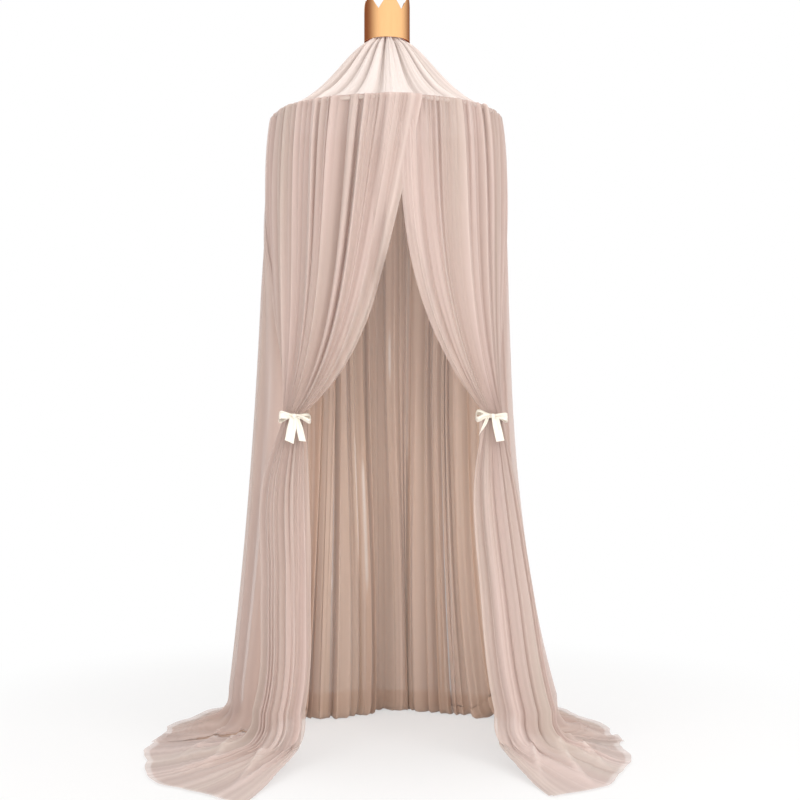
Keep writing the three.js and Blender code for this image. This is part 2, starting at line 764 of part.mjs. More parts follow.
// A ribbon loop that leaves the knot sideways, opens, and comes back beside its own start.
function loopSolid(knotCentre, direction, length) {
  const start = knotWidth / 2 + seatGap;
  const parting = ribbonThickness / 2 + seatGap;
  const grid = range(ribbonSteps + 1).map((step) => {
    const turn = (Math.PI * step) / ribbonSteps;
    const x = start + (length - start) * Math.sin(turn);
    const y = -loopDepth * Math.sin(2 * turn) - parting * Math.cos(turn);
    const width = mix(loopPinch, ribbonWidth, Math.sin(turn) ** loopOpeningPower);
    const station = new THREE.Vector3(direction * x, y, 0).add(knotCentre);
    return ribbonAcrossShares.map((side) => station.clone().setZ(station.z + side * width));
  });
  return sheetSolid(grid, () => ribbonThickness);
}

// A ribbon end that falls from under the knot and leans outwards.
function tailSolid(knotCentre, direction, tail) {
  const start = new THREE.Vector3(direction * seatGap, 0, -knotHeight / 2 - seatGap).add(knotCentre);
  const grid = range(tailSteps + 1).map((step) => {
    const share = step / tailSteps;
    const width = mix(tailPinch, tail.width, Math.min(share / tailOpenShare, 1));
    const middle = width / 2 + tailLean * tail.lean * share;
    const fall = tail.length * share;
    return ribbonAcrossShares.map((side) => {
      const place = new THREE.Vector3(direction * middle + side * width, -fall * tailForwardShare, -fall);
      return place.add(start);
    });
  });
  return sheetSolid(grid, () => ribbonThickness);
}

// The whole canopy
const canopy = new THREE.Group();
canopy.add(
  makeRing(),
  makeWebbing(),
  ...makeCrownParts(),
  makeDome(),
  makeNeckBinding(),
  ...makeHoop(),
  makeCasing(),
  ...makeDrops(),
  ...[leftPanel, rightPanel].map(makePanel),
  ...[leftPanel, rightPanel].flatMap(makeTie),
);
canopy.position.z = -hangHeight;

export default canopy;
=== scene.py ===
"""A hanging bed canopy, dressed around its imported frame.

A gold crown stands on a gathered cone of pale net. The cone is sewn to a hoop in a fabric casing, and five
widths of dusty net hang from the same seam to the floor. The two front widths are drawn aside by ribbon ties.
Lengths are in metres and heights are measured from the floor until a mesh is placed.
"""

import logging
import math
from dataclasses import dataclass, field
from enum import Enum

import bmesh
import bpy
import numpy as np
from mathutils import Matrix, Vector


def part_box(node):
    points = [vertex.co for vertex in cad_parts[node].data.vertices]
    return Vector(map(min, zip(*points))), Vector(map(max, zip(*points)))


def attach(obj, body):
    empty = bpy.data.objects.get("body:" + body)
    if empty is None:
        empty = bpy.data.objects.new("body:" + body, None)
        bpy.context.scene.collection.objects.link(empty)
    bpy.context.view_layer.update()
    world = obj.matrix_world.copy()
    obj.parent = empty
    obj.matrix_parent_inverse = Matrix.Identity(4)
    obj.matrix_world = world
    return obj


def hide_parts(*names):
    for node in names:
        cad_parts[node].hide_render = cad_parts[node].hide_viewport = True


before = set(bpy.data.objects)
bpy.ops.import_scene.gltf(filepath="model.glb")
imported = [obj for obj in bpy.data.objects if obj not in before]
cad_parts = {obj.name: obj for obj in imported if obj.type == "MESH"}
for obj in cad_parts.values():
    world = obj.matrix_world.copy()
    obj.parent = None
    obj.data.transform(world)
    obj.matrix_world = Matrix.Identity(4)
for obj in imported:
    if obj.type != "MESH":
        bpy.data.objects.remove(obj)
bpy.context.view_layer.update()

LOG = logging.getLogger("bed_canopy")
Array = np.ndarray

# Places that the frame gives
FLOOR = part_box("curtain_back")[0].z
CASING_LOW, CASING_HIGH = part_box("hoop_casing")
CASING_RADIUS = (CASING_HIGH.z - CASING_LOW.z) / 2
HOOP_RADIUS = CASING_HIGH.x - CASING_RADIUS
HOOP_HEIGHT = (CASING_HIGH.z + CASING_LOW.z) / 2 - FLOOR

CANOPY = "canopy"
CROWN = "crown"
RING = "ring"


# Shared sums

def linear(hex_colour: str) -> tuple[float, float, float, float]:
    """Turns an sRGB hex colour into linear red, green, blue and alpha.

    Args:
        hex_colour: six hex digits.

    Returns:
        The colour as Blender's sockets take it.
    """
    parts = [int(hex_colour[index:index + 2], 16) / 255 for index in (0, 2, 4)]
    bent = [part / 12.92 if part <= 0.04045 else ((part + 0.055) / 1.055) ** 2.4 for part in parts]
    return (*bent, 1.0)


def mix(first: Array, second: Array, share: Array) -> Array:
    """Goes in a straight line from first, at share 0, to second, at share 1."""
    return first + (second - first) * share


def ramp(value: Array, start: float, run: float) -> Array:
    """Rises smoothly from 0 at start to 1 at start + run, as three squares less two cubes."""
    share = np.clip((value - start) / run, 0.0, 1.0)
    return share * share * (3.0 - 2.0 * share)


def smooth_through(places: Array, knots: Array, values: Array) -> Array:
    """A cubic curve through the knots, whose slope at a knot is the mean slope on its two sides.

    Args:
        places: where the curve is wanted, in one row.
        knots: rising places of the known values.
        values: the known values along the first axis. They may be numbers or whole arrays.

    Returns:
        The curve's values at places, along the first axis.
    """
    knots = np.asarray(knots, float)
    values = np.asarray(values, float)
    slopes = np.gradient(values, knots, axis=0)
    index = np.clip(np.searchsorted(knots, places) - 1, 0, len(knots) - 2)
    as_column = (-1,) + (1,) * (values.ndim - 1)
    span = (knots[index + 1] - knots[index]).reshape(as_column)
    share = np.clip((places - knots[index]).reshape(as_column) / span, 0.0, 1.0)
    rise = values[index + 1] - values[index]
    straight = values[index] + rise * share
    lead = slopes[index] * span - rise
    trail = rise - slopes[index + 1] * span
    return straight + share * (1 - share) * (lead * (1 - share) + trail * share)


def around_axis(radius: Array, angle: Array, height: Array) -> Array:
    """Points on level circles about the canopy's axis: x = r sin a, y = -r cos a, z = height.

    Args:
        radius: distance from the axis.
        angle: degrees from the front, growing towards +X.
        height: height above the floor.

    Returns:
        An array whose last axis holds x, y and z.
    """
    turn = np.radians(angle)
    x, y, z = np.broadcast_arrays(radius * np.sin(turn), -radius * np.cos(turn), height)
    return np.stack([x, y, z], axis=-1)


def from_front(angle: Array) -> Array:
    """The size of an angle from the front, from 0 to 180 degrees, on either side."""
    turned = np.mod(angle, 360.0)
    return np.minimum(turned, 360.0 - turned)


def slopes_of(points: Array, closed: bool) -> tuple[Array, Array]:
    """How a grid of points changes from row to row and from column to column.

    Args:
        points: rows by columns by three.
        closed: whether the last column meets the first.

    Returns:
        The steps down a column and along a row, both shaped as points.
    """
    down = np.gradient(points, axis=0)
    if closed:
        along = (np.roll(points, -1, axis=1) - np.roll(points, 1, axis=1)) / 2
    else:
        along = np.gradient(points, axis=1)
    return down, along


def unit(vectors: Array) -> Array:
    """Vectors divided by their own lengths."""
    return vectors / np.maximum(np.linalg.norm(vectors, axis=-1, keepdims=True), 1e-12)


def normals_of(points: Array, closed: bool = False) -> Array:
    """Outward unit normals of a grid: the steps down its columns crossed with those along its rows."""
    down, along = slopes_of(points, closed)
    return unit(np.cross(down, along))


def run_lengths(points: Array) -> Array:
    """The mean distance of each row of a grid from its first row, measured down the columns."""
    steps = np.linalg.norm(np.diff(points, axis=0), axis=-1).mean(axis=1)
    return np.concatenate([[0.0], np.cumsum(steps)])


def make_piece(
    name: str,
    points: Array,
    flat: Array,
    closed: bool = False,
    crest: Array | None = None,
) -> bpy.types.Object:
    """Makes a mesh of quads over a grid of points, with its place on the flat cut as its UV map.

    Args:
        name: the piece's name.
        points: rows by columns by three, in heights above the floor.
        flat: rows by columns by two, in metres across and along the cut. A closed grid has one column more.
        closed: whether the last column meets the first.
        crest: where each point lies in its fold, from 0 at the bottom of a fold to 1 on the crest, and past 1
            on a pressed ridge. The net's material paints shade low on it and a highlight past 1.

    Returns:
        The new object, linked to the scene.
    """
    rows, columns = points.shape[:2]
    index = np.arange(rows * columns).reshape(rows, columns)
    if closed:
        index = np.concatenate([index, index[:, :1]], axis=1)
    corners = np.stack([index[:-1, :-1], index[1:, :-1], index[1:, 1:], index[:-1, 1:]], axis=-1)
    places = points.reshape(-1, 3) + np.array([0.0, 0.0, FLOOR])
    mesh = bpy.data.meshes.new(name)
    mesh.from_pydata(places.tolist(), [], corners.reshape(-1, 4).tolist())
    uv = np.stack([flat[:-1, :-1], flat[1:, :-1], flat[1:, 1:], flat[:-1, 1:]], axis=2)
    mesh.uv_layers.new(name="flat").data.foreach_set("uv", uv.reshape(-1).astype(np.float32))
    if crest is not None:
        values = np.broadcast_to(crest, points.shape[:2]).reshape(-1).astype(np.float32)
        mesh.attributes.new("crest", "FLOAT", "POINT").data.foreach_set("value", values)
    mesh.shade_smooth()
    piece = bpy.data.objects.new(name, mesh)
    bpy.context.scene.collection.objects.link(piece)
    return piece


def flat_grid(width: float, lengths: Array, columns: int) -> Array:
    """The places of a grid on its flat cut: even steps across the width, and the given lengths along it."""
    across, along = np.meshgrid(np.linspace(0.0, width, columns), lengths)
    return np.stack([across, along], axis=-1)


# Finishes

def add_node(
    tree: bpy.types.NodeTree,
    kind: str,
    values: dict | None = None,
    links: dict | None = None,
    **settings: object,
) -> bpy.types.Node:
    """Adds a node with its settings, its constant inputs and its links.

    Args:
        tree: the material's node tree.
        kind: the node's type name.
        values: constant values by input name or index.
        links: output sockets by the input name or index that they feed.
        settings: the node's own properties.

    Returns:
        The new node.
    """
    node = tree.nodes.new(kind)
    for key, value in settings.items():
        setattr(node, key, value)
    for key, value in (values or {}).items():
        node.inputs[key].default_value = value
    for key, socket in (links or {}).items():
        tree.links.new(socket, node.inputs[key])
    return node


# Where a colour Mix node has its inputs and its output
MIX_SHARE, MIX_FIRST, MIX_SECOND, MIX_OUT = 0, 6, 7, 2


@dataclass(frozen=True)
class Finish:
    """What every finish has: a name that says its material and how it was made, a colour and a roughness."""

    name: str
    colour: str
    roughness: float

    def start(self, constants: dict) -> tuple[bpy.types.Material, bpy.types.NodeTree, bpy.types.Node]:
        """Makes the material with its shader.

        Args:
            constants: the shader's constant inputs by name.

        Returns:
            The material, its node tree and its shader node.
        """
        material = bpy.data.materials.new(self.name)
        material.use_nodes = True
        tree = material.node_tree
        shader = tree.nodes["Principled BSDF"]
        shader.inputs["Base Color"].default_value = linear(self.colour)
        shader.inputs["Roughness"].default_value = self.roughness
        for key, value in constants.items():
            shader.inputs[key].default_value = value
        return material, tree, shader


@dataclass(frozen=True)
class NetCloth(Finish):
    """Dyed, warp-knitted nylon tulle: a matt veil, streaked lengthwise by its threads, with painted shade in
    the hollows of its folds and a painted highlight on pressed ridges.
    """

    shade: str = "B89A8E"
    tint: str = "CFBDB0"
    # Painted shade for the hollows of folds, and a painted highlight for pressed ridges
    hollow_shade: str = "A5877B"
    ridge: str = "FFF7F0"
    opacity: float = 0.8
    streak_width: float = 0.022
    streak_length: float = 0.7
    patch_width: float = 0.09
    patch_length: float = 1.1
    net_pitch: float = 0.0032
    net_depth: float = 0.0002
    streak_strength: float = 0.20
    patch_strength: float = 0.6
    hollow_shade_strength: float = 0.62
    ridge_highlight_strength: float = 0.8
    sheen: float = 0.3

    def build(self) -> bpy.types.Material:
        """Builds the material.

        Streaks and wider patches are noise drawn out along the cloth, where its threads crowd or its dye
        turns. The
        hollows of its folds are darker: painted shade, read from each piece's crest attribute. A pressed
        ridge is
        paler: a painted highlight from the same attribute. The four are layers of colour, one over another.
        The real net is 1 mm; it is drawn three times as coarse, so that it shows close by.

        Returns:
            The finished material.
        """
        material, tree, shader = self.start({
            "Alpha": self.opacity,
            "Sheen Weight": self.sheen,
            "Sheen Roughness": 0.5,
            "Specular IOR Level": 0.25,
        })
        flat = add_node(tree, "ShaderNodeUVMap", uv_map="flat")
        noises = []
        for width, length, detail in (
            (self.streak_width, self.streak_length, 1.5),
            (self.patch_width, self.patch_length, 2.0),
        ):
            drawn = add_node(
                tree, "ShaderNodeMapping",
                values={"Scale": (1 / width, 1 / length, 1.0)},
                links={"Vector": flat.outputs[0]},
            )
            noises.append(add_node(
                tree, "ShaderNodeTexNoise",
                values={"Scale": 1.0, "Detail": detail, "Roughness": 0.5},
                links={"Vector": drawn.outputs[0]},
            ))
        streaks, patches = noises
        net = add_node(
            tree, "ShaderNodeTexVoronoi",
            values={"Scale": 1 / self.net_pitch, "Randomness": 0.35},
            links={"Vector": flat.outputs[0]},
            feature="DISTANCE_TO_EDGE",
        )
        crest = add_node(tree, "ShaderNodeAttribute", attribute_name="crest")
        # The hollow layer is painted shade and the ridge layer is a painted highlight, both read from the
        # crest attribute
        layers = (
            (self.tint, patches.outputs[0], 0.4, 0.7, 0.0, self.patch_strength),
            (self.hollow_shade, crest.outputs["Fac"], 0.1, 0.8, self.hollow_shade_strength, 0.0),
            (self.shade, streaks.outputs[0], 0.45, 0.75, 0.0, self.streak_strength),
            (self.ridge, crest.outputs["Fac"], 1.0, 1.6, 0.0, self.ridge_highlight_strength),
        )
        below = {}
        for layer, socket, low, high, share_at_low, share_at_high in layers:
            share = add_node(
                tree, "ShaderNodeMapRange",
                values={"From Min": low, "From Max": high, "To Min": share_at_low, "To Max": share_at_high},
                links={"Value": socket},
            )
            coloured = add_node(
                tree, "ShaderNodeMix", data_type="RGBA",
                values={MIX_FIRST: linear(self.colour), MIX_SECOND: linear(layer)},
                links={MIX_SHARE: share.outputs[0], **below},
            )
            below = {MIX_FIRST: coloured.outputs[MIX_OUT]}
        tree.links.new(coloured.outputs[MIX_OUT], shader.inputs["Base Color"])
        bump = add_node(
            tree, "ShaderNodeBump",
            values={"Distance": self.net_depth, "Strength": 0.5},
            links={"Height": net.outputs[0]},
        )
        tree.links.new(bump.outputs[0], shader.inputs["Normal"])
        return material


@dataclass(frozen=True)
class SatinRibbon(Finish):
    """Polyester satin ribbon, woven with long floats: a soft gloss that runs across the folds."""

    shade: str = "E8DCC4"
    thread_pitch: float = 0.0007
    thread_stretch: float = 0.04
    gloss_low: float = 0.06
    gloss_high: float = 0.12
    sheen: float = 0.25

    def build(self) -> bpy.types.Material:
        """Builds the material: fine threads along the ribbon, which vary its colour, gloss and relief.

        The real thread is 0.15 mm; it is drawn coarser, so that it shows in a close view.

        Returns:
            The finished material.
        """
        material, tree, shader = self.start({
            "Sheen Weight": self.sheen,
            "Sheen Roughness": 0.35,
            "Specular IOR Level": 0.6,
        })
        flat = add_node(tree, "ShaderNodeUVMap", uv_map="flat")
        drawn = add_node(
            tree, "ShaderNodeMapping",
            values={"Scale": (1 / self.thread_pitch, self.thread_stretch / self.thread_pitch, 1.0)},
            links={"Vector": flat.outputs[0]},
        )
        threads = add_node(
            tree, "ShaderNodeTexNoise",
            values={"Scale": 1.0, "Detail": 2.0},
            links={"Vector": drawn.outputs[0]},
        )
        share = add_node(
            tree, "ShaderNodeMapRange",
            values={"From Min": 0.45, "From Max": 0.8, "To Max": 0.7},
            links={"Value": threads.outputs[0]},
        )
        colour = add_node(
            tree, "ShaderNodeMix", data_type="RGBA",
            values={MIX_FIRST: linear(self.colour), MIX_SECOND: linear(self.shade)},
            links={MIX_SHARE: share.outputs[0]},
        )
        gloss = add_node(
            tree, "ShaderNodeMapRange",
            values={"To Min": self.roughness - self.gloss_low, "To Max": self.roughness + self.gloss_high},
            links={"Value": threads.outputs[0]},
        )
        bump = add_node(
            tree, "ShaderNodeBump",
            values={"Distance": 0.0001, "Strength": 0.4},
            links={"Height": threads.outputs[0]},
        )
        tree.links.new(colour.outputs[MIX_OUT], shader.inputs["Base Color"])
        tree.links.new(gloss.outputs[0], shader.inputs["Roughness"])
        tree.links.new(bump.outputs[0], shader.inputs["Normal"])
        return material


@dataclass(frozen=True)
class SheetMetal(Finish):
    """Rolled metal sheet or drawn wire: clear reflections, broken a little by fine upright lines."""

    shade: str = "C8804A"
    line_pitch: float = 0.0012
    line_length: float = 0.06
    line_strength: float = 0.35
    gloss_low: float = 0.05
    gloss_high: float = 0.08

    def build(self) -> bpy.types.Material:
        """Builds the material: long fine lines that vary its colour a little and its roughness more.

        Returns:
            The finished material.
        """
        material, tree, shader = self.start({"Metallic": 1.0})
        place = add_node(tree, "ShaderNodeTexCoord")
        drawn = add_node(
            tree, "ShaderNodeMapping",
            values={"Scale": (1 / self.line_pitch, 1 / self.line_pitch, 1 / self.line_length)},
            links={"Vector": place.outputs["Object"]},
        )
        lines = add_node(
            tree, "ShaderNodeTexNoise",
            values={"Scale": 1.0, "Detail": 3.0, "Roughness": 0.55},
            links={"Vector": drawn.outputs[0]},
        )
        share = add_node(
            tree, "ShaderNodeMapRange",
            values={"From Min": 0.4, "From Max": 0.8, "To Max": self.line_strength},
            links={"Value": lines.outputs[0]},
        )
        colour = add_node(
            tree, "ShaderNodeMix", data_type="RGBA",
            values={MIX_FIRST: linear(self.colour), MIX_SECOND: linear(self.shade)},
            links={MIX_SHARE: share.outputs[0]},
        )
        gloss = add_node(
            tree, "ShaderNodeMapRange",
            values={"To Min": self.roughness - self.gloss_low, "To Max": self.roughness + self.gloss_high},
            links={"Value": lines.outputs[0]},
        )
        tree.links.new(colour.outputs[MIX_OUT], shader.inputs["Base Color"])
        tree.links.new(gloss.outputs[0], shader.inputs["Roughness"])
        return material


@dataclass(frozen=True)
class WovenTape(Finish):
    """Cotton tape, woven in a herringbone: matt, with slanting ribs."""

    shade: str = "CFC2B4"
    rib_scale: float = 1 / 0.024

    def build(self) -> bpy.types.Material:
        """Builds the material: broad slanting bands across the tape, bent by a little noise.

        Returns:
            The finished material.
        """
        material, tree, shader = self.start({"Sheen Weight": 0.2, "Specular IOR Level": 0.25})
        flat = add_node(tree, "ShaderNodeUVMap", uv_map="flat")
        ribs = add_node(
            tree, "ShaderNodeTexWave",
            values={"Scale": self.rib_scale, "Distortion": 1.5, "Detail": 2.0, "Detail Scale": 8.0},
            links={"Vector": flat.outputs[0]},
            bands_direction="DIAGONAL",
        )
        colour = add_node(
            tree, "ShaderNodeMix", data_type="RGBA",
            values={MIX_FIRST: linear(self.shade), MIX_SECOND: linear(self.colour)},
            links={MIX_SHARE: ribs.outputs[1]},
        )
        bump = add_node(
            tree, "ShaderNodeBump",
            values={"Distance": 0.0002, "Strength": 0.6},
            links={"Height": ribs.outputs[1]},
        )
        tree.links.new(colour.outputs[MIX_OUT], shader.inputs["Base Color"])
        tree.links.new(bump.outputs[0], shader.inputs["Normal"])
        return material


@dataclass(frozen=True)
class GlassFibre(Finish):
    """Pultruded glass-fibre rod: pale and a little glossy, finely mottled by its fibres."""

    shade: str = "D8D6CC"
    fibre_pitch: float = 0.0008

    def build(self) -> bpy.types.Material:
        """Builds the material: fine mottling of two close tones.

        Returns:
            The finished material.
        """
        material, tree, shader = self.start({"IOR": 1.52})
        place = add_node(tree, "ShaderNodeTexCoord")
        fibres = add_node(
            tree, "ShaderNodeTexNoise",
            values={"Scale": 1 / self.fibre_pitch, "Detail": 2.0},
            links={"Vector": place.outputs["Object"]},
        )
        colour = add_node(
            tree, "ShaderNodeMix", data_type="RGBA",
            values={MIX_FIRST: linear(self.colour), MIX_SECOND: linear(self.shade)},
            links={MIX_SHARE: fibres.outputs[0]},
        )
        tree.links.new(colour.outputs[MIX_OUT], shader.inputs["Base Color"])
        return material


@dataclass(frozen=True)
class FinishRow:
    """Every finish that the canopy has. SLOTS says which of the record's slots each one takes."""

    pale_net: NetCloth = NetCloth(
        "tulle_pale_warp_knitted", "F1E3DC", 0.9, shade="CFBFB7", tint="E6D6CE", hollow_shade="8A766C",
        opacity=0.80, hollow_shade_strength=0.85, streak_strength=0.35,
    )
    dusty_net: NetCloth = NetCloth(
        "tulle_dusty_warp_knitted", "EED8D0", 0.9, shade="C9B1A6", tint="D8CCBE", hollow_shade="AC9085",
        opacity=0.60,
    )
    lining_net: NetCloth = NetCloth(
        "tulle_dusty_lining_warp_knitted", "ECD5CC", 0.9, shade="C9AFA4", tint="D6C8BA", hollow_shade="AC9085",
        opacity=0.72,
    )
    # A warmer, darker copy of the dusty net for the inner ply of the side and back curtains, which is seen
    # only from inside: painted shade of the canopy's inside
    inner_net_painted_shade: NetCloth = NetCloth(
        "tulle_dusty_inner_ply_warp_knitted", "EBCFBC", 0.9, shade="C7A591", tint="D5BAA3",
        hollow_shade="9A7863", opacity=0.82, hollow_shade_strength=0.50,
    )
    satin: SatinRibbon = SatinRibbon("satin_ribbon_woven", "F8F1E6", 0.36)
    gold: SheetMetal = SheetMetal("brass_sheet_rose_gold_plated", "F5C090", 0.22, shade="E2A674")
    wire: SheetMetal = SheetMetal(
        "steel_wire_zinc_plated", "C4C6C9", 0.3, shade="A9ACB0", line_pitch=0.0006, line_length=0.004,
    )
    tube: SheetMetal = SheetMetal(
        "steel_tube_cold_drawn", "B9BBBE", 0.36, shade="9C9FA3", line_pitch=0.0008, line_length=0.02,
    )
    tape: WovenTape = WovenTape("cotton_tape_herringbone_woven", "EFE6DC", 0.9)
    fibre: GlassFibre = GlassFibre("glass_fibre_rod_pultruded", "F0EEE6", 0.4)


SLOTS = {
    "pale_net": "pale_tulle",
    "dusty_net": "dusty_tulle",
    "lining_net": "dusty_tulle",
    "inner_net_painted_shade": "dusty_tulle",
    "satin": "cream_satin",
    "gold": "gold_sheet",
    "wire": "steel_wire",
    "tube": "sleeve_steel",
    "tape": "cotton_webbing",
    "fibre": "fibreglass_rod",
}


class Wardrobe:
    """Builds each finish once and dresses pieces in them."""

    def __init__(self) -> None:
        """Builds every finish of the row."""
        row = FinishRow()
        self.materials = {key: getattr(row, key).build() for key in SLOTS}

    def dress(self, piece: bpy.types.Object, finish: str, body: str, *replaced: str) -> bpy.types.Object:
        """Gives a new piece its finish and its body, and hides the CAD nodes that it stands for.

        Args:
            piece: the new piece.
            finish: the finish's name in the row.
            body: the body that the piece rides on.
            replaced: the CAD nodes that it stands for.

        Returns:
            The same piece.
        """
        piece.data.materials.clear()
        piece.data.materials.append(self.materials[finish])
        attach(piece, body)
        if replaced:
            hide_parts(*replaced)
        return piece

    def dress_node(self, node: str, finish: str) -> None:
        """Gives a CAD node that stays in view its finish."""
        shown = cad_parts[node]
        shown.data.materials.clear()
        shown.data.materials.append(self.materials[finish])


# Folds of the cloth

@dataclass(frozen=True)
class FoldFamily:
    """Folds of one size across a cloth.

    A fold's height is a bell round its crest: exp(k cos x) brought to the range from -1 to 1, where k is
    the sharpness. At sharpness 0 it is a plain cosine. Slow waves across the cloth and down it let some
    folds stand out and others fade away.
    """

    count: float
    sharpness: float
    seed: int
    wander: float = 0.35
    drift: float = 0.5
    fade: float = 0.75
    strays: int = 6
    swell_rate: float = 2.3
    swell_start: float = 6.0
    swell_slide: float = 5.0
    mean_share: float = 0.75
    most_share: float = 1.6
    lean_seed_step: int = 900
    lean_waves: tuple[float, ...] = (1.3, 2.9, 4.7)
    lean_drift: float = 2.5

    def height(self, across: Array, down: Array) -> Array:
        """The folds' height from -1 to 1.

        Args:
            across: share of the cloth's width, from 0 to 1.
            down: distance down the cloth, in metres.

        Returns:
            Heights for the two arrays together.
        """
        random = np.random.default_rng(self.seed)
        phase = self.count * across + random.uniform()
        swell = 0.0
        for stray in range(1, self.strays + 1):
            turn = 2 * math.pi * (stray * across + random.uniform())
            slide = self.drift * down * random.uniform(-1, 1)
            phase = phase + self.wander * random.uniform(0.5, 1) * np.sin(turn + slide) / stray ** 0.5
            start = random.uniform(0, self.swell_start)
            swell = swell + np.sin(self.swell_rate * turn + start + self.swell_slide * slide) / self.strays
        wave = np.cos(2 * math.pi * phase)
        if self.sharpness:
            top = math.exp(self.sharpness)
            bottom = math.exp(-self.sharpness)
            wave = 2 * (np.exp(self.sharpness * wave) - bottom) / (top - bottom) - 1
        return wave * np.clip(self.mean_share + self.fade * swell, 0.0, self.most_share)

    def lean(self, across: Array, down: Array) -> Array:
        """Which way the folds lean over: slow waves across and down the cloth, from -1 to 1."""
        random = np.random.default_rng(self.seed + self.lean_seed_step)
        lean = 0.0
        for stray in self.lean_waves:
            slide = self.lean_drift * down * random.uniform(-1, 1)
            lean = lean + np.sin(2 * math.pi * (stray * across + random.uniform()) + slide) / 2
        return np.clip(lean, -1.0, 1.0)


@dataclass(frozen=True)
class FoldSize:
    """Folds of one size: how many gathers one takes up, and its depths as shares of the room that it has."""

    gathers_each: float
    sharpness: float
    wander: float
    fade: float
    gathered_share: float
    hanging_share: float
    deepest: float
    lean_share: float
    pinch_share: float
    train_share: float
    fold_shade_share: float

    def family(self, gathers: float, seed: int, sharpness: float) -> FoldFamily:
        """The folds of this size on a cloth with this many gathers."""
        return FoldFamily(gathers / self.gathers_each, sharpness, seed, wander=self.wander, fade=self.fade)


# From the broad folds that the eye sees first to the small gathers of the seam; the last column is each
# size's share of the painted fold shade
FOLD_SIZES = (
    FoldSize(7.5, 0.4, 0.6, 1.2, 0.08, 0.17, 0.0200, 0.5, 0.2, 0.8, 0.55),
    FoldSize(3.8, 0.6, 0.8, 1.8, 0.10, 0.08, 0.0080, 0.3, 0.2, 0.3, 0.35),
    FoldSize(1.8, 0.6, 0.9, 2.2, 0.14, 0.022, 0.0030, 0.3, 0.2, 0.1, 0.15),
    FoldSize(1.0, 0.3, 1.0, 2.0, 0.18, 0.004, 0.0018, 0.0, 0.2, 0.0, 0.10),
)


def drape(
    points: Array,
    folds: Array,
    sway: Array | float = 0.0,
    closed: bool = False,
) -> Array:
    """Pushes a smooth cloth along its own normals by its folds, and along its rows by their sway.

    Args:
        points: the smooth cloth, rows by columns by three.
        folds: the folds' heights in metres, rows by columns.
        sway: a shift along the rows in metres, which leans the folds over.
        closed: whether the last column meets the first.

    Returns:
        The folded cloth.
    """
    down, along = slopes_of(points, closed)
    normals = unit(np.cross(down, along))
    shift = np.broadcast_to(sway, folds.shape)
    return points + normals * folds[..., None] + unit(along) * shift[..., None]


def settle(heights: Array, floor: float, softness: float = 0.004) -> Array:
    """Lays cloth on the floor: heights far above it stay, and those below it come to lie just on it.

    The rule is floor + s ln(1 + e^((height - floor) / s)), which bends softly at the floor.
    """
    above = (heights - floor) / softness
    return floor + softness * np.logaddexp(0.0, above)


def row_lengths(points: Array) -> Array:
    """The length of each row of a grid, along all its folds."""
    return np.linalg.norm(np.diff(points, axis=1), axis=-1).sum(axis=1)


# Sub-assemblies

@dataclass
class HangingRing:
    """The wire ring that the canopy hangs by, in the eye of its webbing."""

    wire_radius: float = 0.002
    sides: int = 20
    steps: int = 96

    def build(self, wardrobe: Wardrobe) -> None:
        """Builds the ring as a torus round its own centre, in the plane that faces the front."""
        low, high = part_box("hanging_ring")
        centre = (low + high) / 2
        radius = (high.z - low.z) / 2 - self.wire_radius
        turn = np.linspace(0.0, 2 * math.pi, self.steps, endpoint=False)
        path = np.stack([radius * np.sin(turn), 0 * turn, radius * np.cos(turn)], axis=-1)
        outward = unit(path)
        side = np.linspace(0.0, 2 * math.pi, self.sides, endpoint=False)
        wide = outward[:, None, :] * np.cos(side)[None, :, None]
        deep = np.array([0.0, 1.0, 0.0]) * np.sin(side)[None, :, None]
        rings = path[:, None, :] + (wide + deep) * self.wire_radius
        points = rings + np.array([centre.x, centre.y, centre.z - FLOOR])
        points = np.concatenate([points, points[:1]], axis=0)
        flat = flat_grid(2 * math.pi * self.wire_radius, run_lengths(points), self.sides + 1)
        piece = make_piece("ring_wire", points, flat, closed=True)
        weld(piece)
        wardrobe.dress(piece, "wire", RING, "hanging_ring")


def weld(piece: bpy.types.Object) -> None:
    """Merges the double points of a mesh that meets itself, and turns its faces outwards."""
    work = bmesh.new()
    work.from_mesh(piece.data)
    bmesh.ops.remove_doubles(work, verts=work.verts, dist=1e-6)
    bmesh.ops.recalc_face_normals(work, faces=work.faces)
    work.to_mesh(piece.data)
    work.free()
    piece.data.shade_smooth()


def thicken(piece: bpy.types.Object, thickness: float, offset: float = 0.0) -> None:
    """Gives an open sheet its thickness with a Solidify modifier, and applies it."""
    solid = piece.modifiers.new("thickness", "SOLIDIFY")
    solid.thickness = thickness
    solid.offset = offset
    solid.use_even_offset = True
    apply_modifiers(piece)


def apply_modifiers(piece: bpy.types.Object) -> None:
    """Replaces a piece's mesh with the mesh that its modifiers make."""
    shown = piece.evaluated_get(bpy.context.evaluated_depsgraph_get())
    made = bpy.data.meshes.new_from_object(shown)
    made.name = piece.name
    piece.modifiers.clear()
    piece.data = made


